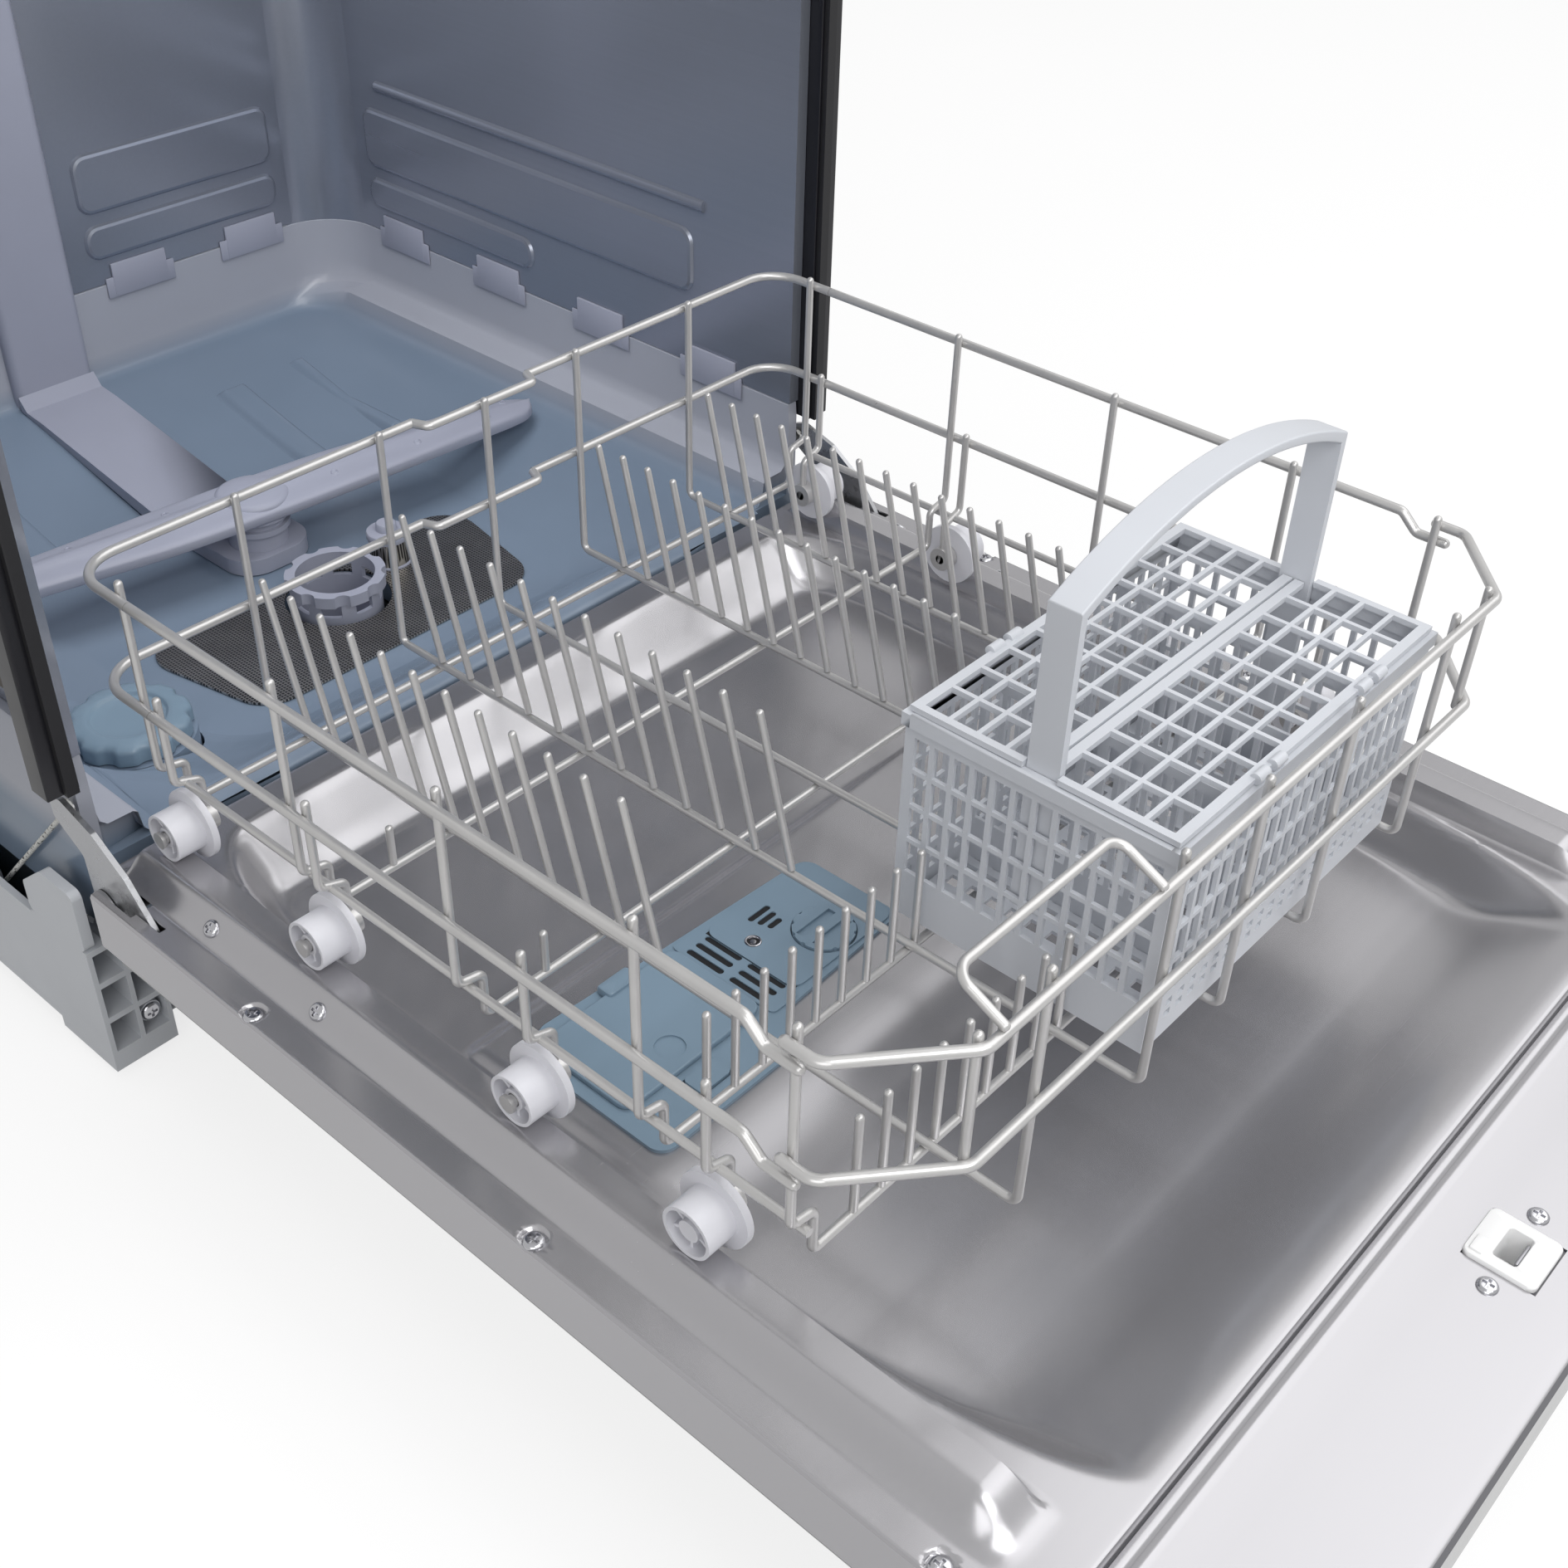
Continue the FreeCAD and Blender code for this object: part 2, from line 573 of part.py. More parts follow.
# Balance ropes: from the hinge hook under a pulley to a coil spring.
rope_r = 1.5
eye_r = 2.6 + clear + rope_r
pulley_y = 150.0
pulley_r = 14.0
run_z = 50.0
pulley_z = run_z + pulley_r
span = hypot(pulley_y - hook_y, pulley_z - hook_z)
aim = atan2(pulley_z - hook_z, pulley_y - hook_y)
lean = aim - atan2(pulley_r, sqrt(span ** 2 - pulley_r ** 2))
touch = (pulley_y + pulley_r * sin(lean), pulley_z - pulley_r * cos(lean))
middle = lean / 2
under = (pulley_y + pulley_r * sin(middle), pulley_z - pulley_r * cos(middle))
reach = sqrt(span ** 2 - pulley_r ** 2) - eye_r
rope_end = 196.0
first = V(rope_x, touch[0] - reach * cos(lean), touch[1] - reach * sin(lean))
rope_line = [Part.makeLine(first, V(rope_x, *touch)),
             Part.Arc(V(rope_x, *touch), V(rope_x, *under), V(rope_x, pulley_y, run_z)).toShape(),
             Part.makeLine(V(rope_x, pulley_y, run_z), V(rope_x, rope_end, run_z))]
rope_ring = Part.Wire(Part.makeCircle(rope_r, first, rope_line[0].tangentAt(0)))
rope = Part.Wire(rope_line).makePipeShell([rope_ring], True, False)
eye = Part.makeTorus(eye_r, rope_r, V(rope_x, hook_y, hook_z), V(1, 0, 0))
node("balance_ropes", both([rope, eye]))
groove = pulley_r - rope_r - clear
pulley = fused([across(rope_x - 2.4, rope_x + 2.4, pulley_y, pulley_z, groove),
                across(rope_x - 4, rope_x - 2.4, pulley_y, pulley_z, pulley_r + 2),
                across(rope_x + 2.4, rope_x + 4, pulley_y, pulley_z, pulley_r + 2)])
axle = across(rope_x + 4, tray_half - 4 - clear, pulley_y, pulley_z, 4)
node("pulleys", both([pulley, axle]))
coil_r = 6.4
coil_wire = 0.9
coil_pitch = 3.4
coil_turns = 44
coil_start = rope_end + 8
helix = Part.makeHelix(coil_pitch, coil_pitch * coil_turns, coil_r)
coil_ring = Part.Wire(Part.makeCircle(coil_wire, V(coil_r, 0, 0), V(0, 1, 0)))
coil = Part.Wire(helix).makePipeShell([coil_ring], True, True)
coil.rotate(V(0, 0, 0), V(1, 0, 0), -90)
coil.translate(V(rope_x, coil_start, run_z))
coil_end = coil_start + coil_pitch * coil_turns
cap_front = Part.makeCylinder(coil_r + 1.2, 5, V(rope_x, coil_start - 6.5, run_z), V(0, 1, 0))
cap_back = Part.makeCylinder(coil_r + 1.2, 5, V(rope_x, coil_end + 1.5, run_z), V(0, 1, 0))
node("balance_springs", both([coil, cap_front, cap_back]))
print("least gap between spring turns", round(coil_pitch - 2 * coil_wire, 2))
print("least gap between hose rings", round(ring_pitch - 3.2, 2))
anchor = box(rope_x - 3, tray_half - 4, coil_end + 7, coil_end + 11, tray_z, 60)
nodes["base_tray"] = Part.makeCompound([nodes["base_tray"]] + both([anchor]))

# Latch striker on the header.
latch_out = door_length - 45
striker_z = hinge_z + latch_out
striker = fused([box(-8, 8, hinge_y - 10, frame_front - 0.2, striker_z - 3, striker_z + 3),
                 box(-16, 16, frame_front - 2, frame_front - 0.2, striker_z - 9, striker_z + 9)])
node("latch_striker", striker)

# Door inner panel: sealing flange, raised wheel ledges, dished middle, side skirt.
def door_form(inset):
    form = door_box(-door_half + inset, door_half - inset, -door_tail + inset, panel_end - inset,
                    skirt_up - 6 * inset, flange_up - inset)
    section = [(flange_inner - inset, flange_up - inset), (ledge_outer - inset / 2, ledge_up - inset),
               (ledge_inner - 6, ledge_up - inset), (ledge_inner - 6, 0), (flange_inner - inset, 0)]
    ledge = plate_y([(x, hinge_z + up) for x, up in section], hinge_y - ledge_end + inset,
                    hinge_y + 2 - inset)
    form = form.fuse(ledge).fuse(mirrored(ledge))
    rise = ledge_up + 0.5
    climb_out = dish_end + (rise - dish_up) * 60 / 29
    low = (-dish_half - inset, dish_half + inset,
           hinge_y - dish_end - inset, hinge_y - dish_start + inset)
    high = (-ledge_inner - inset, ledge_inner + inset,
            hinge_y - climb_out - inset, hinge_y + 2 + inset)
    return form.cut(basin(low, hinge_z + dish_up - inset, 40, high, hinge_z + rise, 8))


panel = door_form(0).cut(door_form(door_sheet))
notch = door_box(flange_inner + 0.6, door_half - 5.5, -door_tail - 1, 30, -40, 40)
slot = door_box(arm_x0 - 0.6, arm_x1 + 0.6, 28, 50, 0, 40)
tail_gap = door_box(flange_inner + 0.6, door_half + 1, -door_tail - 1, 0, -40, 40)
disp_pit = door_box(disp_x0 + 8, disp_x1 - 8, disp_out0 + 8, disp_out1 - 8, dish_up - 5, dish_up + 5)
panel = cut(panel, both([notch, slot, tail_gap]) + [disp_pit])
node("door_inner", panel)

# Door outer sheet, sound-deadening mat, and the furniture-panel fixing holes.
outer_low = skirt_up - 2.2
outer = door_box(-door_half + 1.6, door_half - 1.6, -8, panel_end, outer_low, outer_low + 1.4)
panel_fixings = []
fix_end = panel_end - 48
for fix_x in (42 - door_half, door_half - 42):
    for fix_out in (60.0, (60 + fix_end) / 2, fix_end):
        panel_fixings.append(disc(fix_x, hinge_y - fix_out, hinge_z + outer_low - 1, 2.4, 5))
corner_gap = door_box(flange_inner, door_half, -door_tail, 16, outer_low - 1, outer_low + 3)
node("door_outer", cut(outer, panel_fixings + both([corner_gap])))
mat_holes = door_box(disp_x0, disp_x1, disp_out0, disp_out1, skirt_up - 3, dish_up)
mat = door_box(8 - dish_half, dish_half - 8, dish_start + 8, dish_end - 8,
               skirt_up - 0.4, dish_up - door_sheet - clear)
node("door_mat", mat.cut(mat_holes))

# Control fascia at the top of the door: grip recess, key openings, display window.
fascia_start = panel_end + 4
fascia_top = 0.0
fascia_low = -44.0
fascia = door_box(-door_half, door_half, fascia_start, door_length, fascia_low, fascia_top)
fascia_edge = hinge_z + fascia_low + 1
fascia = softened(fascia, 5, lambda e: e.BoundBox.XLength > 500 and e.BoundBox.ZMax < fascia_edge)
tongue = door_box(7 - door_half, door_half - 7, panel_end, fascia_start + 1, skirt_up, 4)
fascia = fused([fascia, tongue])
grip = door_box(-90, 90, fascia_start - 1, fascia_start + 30, fascia_low + 6, fascia_low + 26)
latch_slot = door_box(-12, 12, latch_out - 7, latch_out + 7, -24, 3)
key_out = door_length - 25
key_half = 11.0
key_height = 7.0
end_key = door_half - 47
key_places = (("power_key", -end_key), ("program_key", end_key - 120), ("option_key", end_key - 80),
              ("start_key", end_key))
wells = []
for name, x in key_places:
    wells.append(door_box(x - key_half, x + key_half, key_out - key_height, key_out + key_height,
                          fascia_low - 1, fascia_low + 12))
window = door_box(-60, 60, key_out - 12, key_out + 12, fascia_low - 1, fascia_low + 2)
node("control_fascia", cut(fascia, [grip, latch_slot, window] + wells))
node("display_window", door_box(-59.6, 59.6, key_out - 11.6, key_out + 11.6,
                                fascia_low + 0.2, fascia_low + 1.8))
key_play = 0.5
for name, x in key_places:
    key = door_box(x - key_half + key_play, x + key_half - key_play, key_out - key_height + key_play,
                   key_out + key_height - key_play, fascia_low - 1.5, fascia_low + 8)
    key = softened(key, 1.2, lambda e: e.BoundBox.ZMax < hinge_z + fascia_low - 1)
    node(name, key)

# Door latch plate round the striker slot.
latch = door_box(-34, 34, latch_out - 16, latch_out + 16, fascia_top + 0.1, fascia_top + 3)
latch = softened(latch, 7, lambda e: e.BoundBox.ZLength > 2 and e.BoundBox.XLength < 0.1)
node("door_latch", latch.cut(latch_slot))

# Dispenser: frame with a detergent well, slots, sliding lid, latch key, rinse-aid cap.
disp_low = dish_up + 0.2
disp_high = dish_up + disp_rise
split_x = disp_x0 + 104
disp_frame = [(disp_x0, disp_out0 + 6), (disp_x0 + 20, disp_out0), (disp_x1, disp_out0 + 10),
              (disp_x1, disp_out1 - 26), (split_x + 8, disp_out1 - 22), (split_x - 6, disp_out1),
              (disp_x0, disp_out1)]
body = plate_z([(x, hinge_y - out) for x, out in disp_frame], hinge_z + disp_low, hinge_z + disp_high, 9)
under_body = door_box(disp_x0 + 9, disp_x1 - 9, disp_out0 + 13, disp_out1 - 32, dish_up - 4.6, disp_low)
body = body.fuse(under_body)
well = door_box(disp_x0 + 16, split_x - 10, disp_out0 + 22, disp_out1 - 40, dish_up - 3.4, disp_high + 1)
cap_x = disp_x1 - 38
cap_out = disp_out0 + 56
cap_seat = disc(cap_x, hinge_y - cap_out, hinge_z + disp_high - 4, 17.4, 10)
lens_seat = disc(cap_x - 36, hinge_y - cap_out + 22, hinge_z + disp_high - 2, 5, 10)
vents = []
for k in range(3):
    vents.append(door_box(cap_x - 58 + 9 * k, cap_x - 53 + 9 * k, cap_out - 6, cap_out + 14,
                          disp_high - 2, disp_high + 2))
    vents.append(door_box(cap_x - 22 + 9 * k, cap_x - 17 + 9 * k, cap_out - 44, cap_out - 30,
                          disp_high - 2, disp_high + 2))
key_x = disp_x0 + 50
key_seat = door_box(key_x - 11, key_x + 11, disp_out1 - 26, disp_out1 - 12, disp_high - 4, disp_high + 2)
body = cut(body, [well, cap_seat, lens_seat, key_seat] + vents)
node("dispenser", body.removeSplitter())
lid_low = disp_high + 0.5
lid_high = disp_high + 3.1
lid = plate_z([(x, hinge_y - out) for x, out in
               ((disp_x0 + 7, disp_out0 + 9), (split_x - 2, disp_out0 + 9),
                (split_x - 2, disp_out1 - 30), (disp_x0 + 7, disp_out1 - 30))],
              hinge_z + lid_low, hinge_z + lid_high, 7)
lid = softened(lid, 1.0, lambda e: e.BoundBox.ZMin > hinge_z + lid_high - 0.1)
thumb = disc(key_x, hinge_y - disp_out1 + 44, hinge_z + lid_high - 1, 8, 5)
node("detergent_lid", lid.cut(thumb))
lid_key = door_box(key_x - 10.4, key_x + 10.4, disp_out1 - 25.4, disp_out1 - 12.6,
                   disp_high - 2.2, disp_high + 1.6)
node("lid_key", softened(lid_key, 2.5, lambda e: e.BoundBox.ZLength > 3))
cap = disc(cap_x, hinge_y - cap_out, hinge_z + disp_high - 3.5, 17, 6)
cap_grooves = []
for k in range(12):
    turn = 2 * pi * k / 12
    cap_grooves.append(disc(cap_x + 17.6 * cos(turn), hinge_y - cap_out + 17.6 * sin(turn),
                            hinge_z + disp_high + 0.5, 1.6, 6))
cap = cut(cap, cap_grooves)
cap = cap.cut(box(cap_x - 13, cap_x + 13, hinge_y - cap_out - 8, hinge_y - cap_out - 3,
                  hinge_z + disp_high + 0.8, hinge_z + disp_high + 5))
node("rinse_cap", cap.cut(box(cap_x - 13, cap_x + 13, hinge_y - cap_out + 3, hinge_y - cap_out + 8,
                              hinge_z + disp_high + 0.8, hinge_z + disp_high + 5)))

# Rack floor: cross wires that turn up into side posts, long wires along the floor.
step_z = rail_z + 2 * wire_r - weld


def cross_run(y):
    half = [(post_x, y, top_z + 5), (post_x, y, step_z + 1.5), (hook_x, y, step_z - 1.5),
            (hook_x, y, cross_z)]
    left = [(-x, yy, z) for x, yy, z in reversed(half)]
    return wire_run(half + left, wire_r, 4.0)


floor_wires = []
for y in cross_wires:
    floor_wires += cross_run(y)
    for side in (-1, 1):
        floor_wires.append(Part.makeSphere(wire_r, V(side * post_x, y, top_z + 5)))
upright_rear = rack_rear - rim_r - wire_r + weld
upright_front = rack_front + rim_r + wire_r - weld
corner = 10.0
notch_half = 38.0


def rear_line(x):
    """Upright line at the back, set in behind the notch of the rims."""
    return upright_rear - (rack_notch if abs(x) < notch_half else 0)


for x in long_wires:
    near = V(x, upright_front + corner, rack_floor)
    far = V(x, rear_line(x) - corner, rack_floor)
    floor_wires.append(rod(far, near, wire_r))
node("rack_floor", floor_wires)


def upright(x, y, inward):
    points = [(x, y + inward * corner, rack_floor), (x, y, rack_floor), (x, y, top_z + 4)]
    return wire_run(points, wire_r, corner) + [Part.makeSphere(wire_r, V(x, y, top_z + 4))]


# Rear of the rack: two rims with rounded corners and a notch for the riser, uprights.
rim_join = cross_wires[0] - 13


def rear_rim(z):
    half = [(rack_half, rim_join, z), (rack_half, rack_rear, z), (notch_half + 4, rack_rear, z),
            (notch_half, rack_rear - rack_notch, z)]
    left = [(-x, y, zz) for x, y, zz in reversed(half)]
    right = wire_run(half[:3], rim_r, 36)
    return right + [mirrored(s) for s in right] + wire_run(half[2:] + left[:2], rim_r, 4)


rear = rear_rim(mid_z) + rear_rim(top_z)
for x in long_wires:
    rear += upright(x, rear_line(x), -1)
node("rack_rear", rear)

# Front of the rack: two rims with cut corners, uprights and a pull loop.
corner_x = rack_half - 46
corner_y = rack_front + 39


def front_rim(z):
    half = [(rack_half, corner_y + 16, z), (rack_half, corner_y, z), (corner_x, rack_front, z)]
    left = [(-x, y, zz) for x, y, zz in reversed(half)]
    return wire_run(half + left, rim_r, 9)


front = front_rim(mid_z) + front_rim(top_z)
for x in long_wires:
    front += upright(x, upright_front, 1)
for x in (1 - corner_x, corner_x - 1):
    front.append(rod(V(x, upright_front, mid_z - 3), V(x, upright_front, top_z + 3), wire_r))
loop = [(-196, rack_front, top_z + 4.5), (-196, rack_front + 24, top_z + 16),
        (-92, rack_front + 24, top_z + 16), (-92, rack_front, top_z + 4.5)]
front += wire_run(loop, wire_r, 8)
node("rack_front", front)

# Rack sides: top and middle wires, lower rail, wheel carriers with axle pins.
side_end = corner_y + 13


def side_wires(x):
    wires = []
    for z in (mid_z, top_z):
        wires += wire_run([(x, rim_join - 0.4, z), (x, side_end + 22, z), (x, side_end + 12, z - 9),
                           (x, side_end - 4, z - 9)], rim_r, 5)
    rail = rail_half if x > 0 else -rail_half
    wires.append(rod(V(rail, rim_join + 4, rail_z), V(rail, side_end - 4, rail_z), wire_r))
    return wires


lug_x0 = hook_x - 2.6
lug_x1 = wheel_inside - 0.6
pin_end = wheel_outside + 0.9


def carrier(y, bored):
    hanger = wire_run([(post_x, y, mid_z + 6), (post_x, y, rail_z + 3), (hook_x, y, rail_z - 2),
                       (hook_x, y, wheel_z + 5)], wire_r, 4)
    lug = across(lug_x0, lug_x1, y, wheel_z, 7.5)
    if bored:
        return hanger + [lug.cut(across(lug_x0 - 1, lug_x1 + 1, y, wheel_z, pin_r + clear))]
    pin = fused([across(lug_x0, pin_end, y, wheel_z, pin_r), across(pin_end, pin_end + 1.8, y, wheel_z, 4.6)])
    return hanger + [lug, pin]


right_side = side_wires(rack_half)
for y in wheel_lines[:3]:
    right_side += carrier(y, False)
right_side += carrier(wheel_lines[3], True)
node("rack_side_right", right_side)
node("rack_side_left", [mirrored(s) for s in right_side])

# Plate tines: four leaning rows along the rack, two short rows across it.
def tine(x, y, z, rise, lean_y):
    foot = z + wire_r - 0.05 + tine_r * lean_y / rise
    return tipped_rod(V(x, y, foot), V(x, y + lean_y, foot + rise), tine_r)


tines = []
for x in long_wires[:2]:
    for k in range(12):
        tines.append(tine(x, -27 - 24 * k, rack_floor, 84, 23))
for x in long_wires[3:]:
    for k in range(14):
        tines.append(tine(x, -27 - 20.5 * k, rack_floor, 74, 19))
for y in cross_wires[3:]:
    for k in range(9):
        tines.append(tine(45 - rack_half + 18 * k, y, cross_z, 55, 0))
for y in cross_wires[1:3]:
    tines.append(tine(56 - rack_half, y, cross_z, 22, 0))
node("plate_tines", tines)

# Wheels: tread outside, guide flange inside, five spokes in an open recess.
def wheel(y, bore):
    tread = across(wheel_inside, wheel_outside, y, wheel_z, tread_r)
    flange = across(wheel_inside, wheel_inside + flange_width, y, wheel_z, flange_r)
    recess = across(wheel_inside + 7, wheel_outside + 1, y, wheel_z, tread_r - 1.8)
    hub_core = across(wheel_inside, wheel_outside - 1.5, y, wheel_z, 5.4)
    rim = tread.cut(recess)
    spokes = []
    for k in range(6):
        spoke = box(wheel_inside + 6, wheel_outside - 3.5, y - 0.8, y + 0.8,
                    wheel_z + 4, wheel_z + tread_r - 1)
        spoke.rotate(V(0, y, wheel_z), V(1, 0, 0), 60 * k)
        spokes.append(spoke)
    whole = fused([rim, flange, hub_core] + spokes)
    if bore:
        return whole.cut(across(wheel_inside - 1, wheel_outside + 1, y, wheel_z, pin_r + clear))
    return fused([whole, across(lug_x0 - 2, wheel_inside + 2, y, wheel_z, pin_r)])


for number, y in enumerate(wheel_lines[:3]):
    right_wheel = wheel(y, True)
    node("wheel_right_%d" % (number + 1), right_wheel)
    node("wheel_left_%d" % (number + 1), mirrored(right_wheel))
front_wheel = wheel(wheel_lines[3], False)
node("front_wheels", both([front_wheel]))

# Cutlery basket: grid walls, dividers, slotted floor, rim.
basket_low = rack_floor + wire_r + clear
band = 26.0
wall_top = basket_rim - 7
length = basket_right - basket_left
depth = basket_back - basket_front


def grid_x(y0, y1, bars, rows):
    side = box(basket_left, basket_right, y0, y1, basket_low, wall_top)
    gap = (length - 6) / bars
    rise = (wall_top - basket_low - band - 4) / rows
    holes = []
    for i in range(bars):
        for j in range(rows):
            x0 = basket_left + 3 + gap * i + 1.4
            z0 = basket_low + band + rise * j
            holes.append(box(x0, x0 + gap - 2.8, y0 - 1, y1 + 1, z0 + 1.2, z0 + rise - 1.2))
        x0 = basket_left + 3 + gap * i + 2.4
        holes.append(box(x0, x0 + gap - 4.8, y0 - 1, y1 + 1, basket_low + 11, basket_low + 15))
        holes.append(box(x0, x0 + gap - 4.8, y0 - 1, y1 + 1, basket_low + 18, basket_low + 22))
    return cut(side, holes)


def grid_y(x0, x1, bars, rows):
    side = box(x0, x1, basket_front + basket_skin, basket_back - basket_skin, basket_low, wall_top)
    gap = (depth - 2 * basket_skin - 4) / bars
    rise = (wall_top - basket_low - band - 4) / rows
    holes = []
    for i in range(bars):
        for j in range(rows):
            y0 = basket_front + basket_skin + 2 + gap * i + 1.4
            z0 = basket_low + band + rise * j
            holes.append(box(x0 - 1, x1 + 1, y0, y0 + gap - 2.8, z0 + 1.2, z0 + rise - 1.2))
    return cut(side, holes)


basket = [grid_x(basket_front, basket_front + basket_skin, 22, 4),
          grid_x(basket_back - basket_skin, basket_back, 22, 4),
          grid_y(basket_left, basket_left + basket_skin, 12, 4),
          grid_y(basket_right - basket_skin, basket_right, 12, 4)]
for part in (1, 2, 3):
    at = basket_left + length * part / 4
    basket.append(grid_y(at - 0.9, at + 0.9, 12, 2))
floor_plate = box(basket_left + basket_skin, basket_right - basket_skin, basket_front + basket_skin,
                  basket_back - basket_skin, basket_low, basket_low + 2.2)
drains = []
for i in range(18):
    for j in range(11):
        x0 = basket_left + 7 + 12 * i
        y0 = basket_front + 8 + 12 * j
        drains.append(box(x0, x0 + 7, y0, y0 + 7, basket_low - 1, basket_low + 4))
basket.append(cut(floor_plate, drains))
rim_out = 1.6
rim_in = 3.2
rim_rows = ((basket_front - rim_out, basket_front + rim_in), (basket_back - rim_in, basket_back + rim_out))
rim_ends = ((basket_left - rim_out, basket_left + rim_in), (basket_right - rim_in, basket_right + rim_out))
for y0, y1 in rim_rows:
    basket.append(box(basket_left - rim_out, basket_right + rim_out, y0, y1, wall_top, basket_rim))
for x0, x1 in rim_ends:
    basket.append(box(x0, x1, basket_front + rim_in, basket_back - rim_in, wall_top, basket_rim))
node("basket", basket)

# Handle: two straight legs and a strap bowed over the long axis of the basket.
handle_y = (basket_front + basket_back) / 2
strap = 4.6
leg_left = basket_left + rim_in + 0.4
leg_right = basket_right - rim_in - 0.4
leg_low = basket_low + 40
handle_low = handle_y - handle_width / 2
handle_high = handle_y + handle_width / 2
middle_x = (leg_left + leg_right) / 2


def bow(inset):
    left = V(leg_left + inset, handle_low, handle_corner - inset)
    crown = V(middle_x, handle_low, handle_crown - inset)
    right = V(leg_right - inset, handle_low, handle_corner - inset)
    return [left, crown, right]


def handle_face(inset):
    left, crown, right = bow(inset)
    feet = [V(right.x, handle_low, leg_low), V(left.x, handle_low, leg_low)]
    edges = [Part.Arc(left, crown, right).toShape(), Part.makeLine(right, feet[0]),
             Part.makeLine(feet[0], feet[1]), Part.makeLine(feet[1], left)]
    return Part.Face(Part.Wire(edges)).extrude(V(0, handle_width, 0))


node("basket_handle", handle_face(0).cut(handle_face(strap)))

# Two grid lids hinged along the long outer edges.
lid_axis_z = basket_rim + 3.6
lid_thick = 3.0
lid_gap = 0.7


def basket_lid(outer_y, inner_y):
    low = min(outer_y, inner_y)
    high = max(outer_y, inner_y)
    flat = box(basket_left + 1, basket_right - 1, low, high, lid_axis_z - lid_thick, lid_axis_z)
    holes = []
    columns = 10
    rows = 4
    step_x = (length - 2 - 6) / columns
    step_y = (high - low - 8) / rows
    for i in range(columns):
        for j in range(rows):
            x0 = basket_left + 4 + step_x * i
            y0 = low + 4 + step_y * j
            holes.append(box(x0 + 1.2, x0 + step_x - 1.2, y0 + 1.2, y0 + step_y - 1.2,
                             lid_axis_z - 10, lid_axis_z + 5))
    knuckles = []
    for x in (basket_left + 60, basket_left + 74, basket_right - 74, basket_right - 60):
        knuckles.append(across(x, x + 9, outer_y, lid_axis_z - 0.4, 2.8))
    for x0, x1 in ((basket_left, leg_left + strap + lid_gap), (leg_right - strap - lid_gap, basket_right)):
        holes.append(box(x0, x1, handle_low - lid_gap, handle_high + lid_gap,
                         lid_axis_z - 10, lid_axis_z + 5))
    return fused([cut(flat, holes)] + knuckles)


node("basket_lid_front", basket_lid(basket_front + 1, handle_y - lid_gap))
node("basket_lid_rear", basket_lid(basket_back - 1, handle_y + lid_gap))

# Screws along the door flange.
screws = []
for out in (130.0, 327.0, panel_end - 43):
    screws.append(Part.makeCone(3.4, 2.4, 1.6, V(door_half - 4.8, hinge_y - out, hinge_z + flange_up + 0.05)))
node("door_screws", both(screws))

for name, shape in nodes.items():
    placed = shape.copy()
    placed.translate(shift)
    placed.exportStep("parts/%s.step" % name)
print(len(nodes), "nodes, frame shift", round(shift.y, 3))
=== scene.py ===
import json
from math import atan2, cos, hypot, pi, radians, sin, sqrt

import bmesh
import bpy
from bpy.props import FloatProperty, FloatVectorProperty, IntProperty, PointerProperty
from mathutils import Matrix, Vector

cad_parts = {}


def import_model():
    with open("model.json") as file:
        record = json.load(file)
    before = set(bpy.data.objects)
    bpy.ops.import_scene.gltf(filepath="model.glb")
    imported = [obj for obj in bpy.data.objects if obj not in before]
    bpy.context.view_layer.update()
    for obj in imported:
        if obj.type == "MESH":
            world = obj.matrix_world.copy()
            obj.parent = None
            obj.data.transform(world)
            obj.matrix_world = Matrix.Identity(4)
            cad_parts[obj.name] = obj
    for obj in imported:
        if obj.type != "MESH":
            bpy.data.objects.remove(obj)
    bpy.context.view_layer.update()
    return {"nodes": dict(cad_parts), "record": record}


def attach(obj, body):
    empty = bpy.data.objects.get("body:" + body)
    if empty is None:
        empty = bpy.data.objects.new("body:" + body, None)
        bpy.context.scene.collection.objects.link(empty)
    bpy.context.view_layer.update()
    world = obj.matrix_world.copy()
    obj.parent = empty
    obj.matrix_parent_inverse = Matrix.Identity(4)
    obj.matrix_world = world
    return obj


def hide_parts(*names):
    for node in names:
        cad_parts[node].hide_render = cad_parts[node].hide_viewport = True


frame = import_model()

bl_info = {
    "name": "Dishwasher looks",
    "version": (1, 0, 0),
    "blender": (4, 5, 0),
    "location": "3D View > Sidebar > Dishwasher",
    "description": "Steel, mouldings, wire and stage for an open built-in dishwasher",
    "category": "Add Mesh",
}

# Shapes are laid out in millimetres from the front of the cabinet and moved into the shared frame at the end.
millimetre = 0.001
front_shift = 88.0
hinge_y = -16.0
hinge_z = 140.0


# Finishes

def tint(*levels):
    """A colour given, as the light it gives back."""
    shares = [level / 255 for level in levels]
    return tuple(s / 12.92 if s < 0.0405 else ((s + 0.055) / 1.055) ** 2.4 for s in shares)


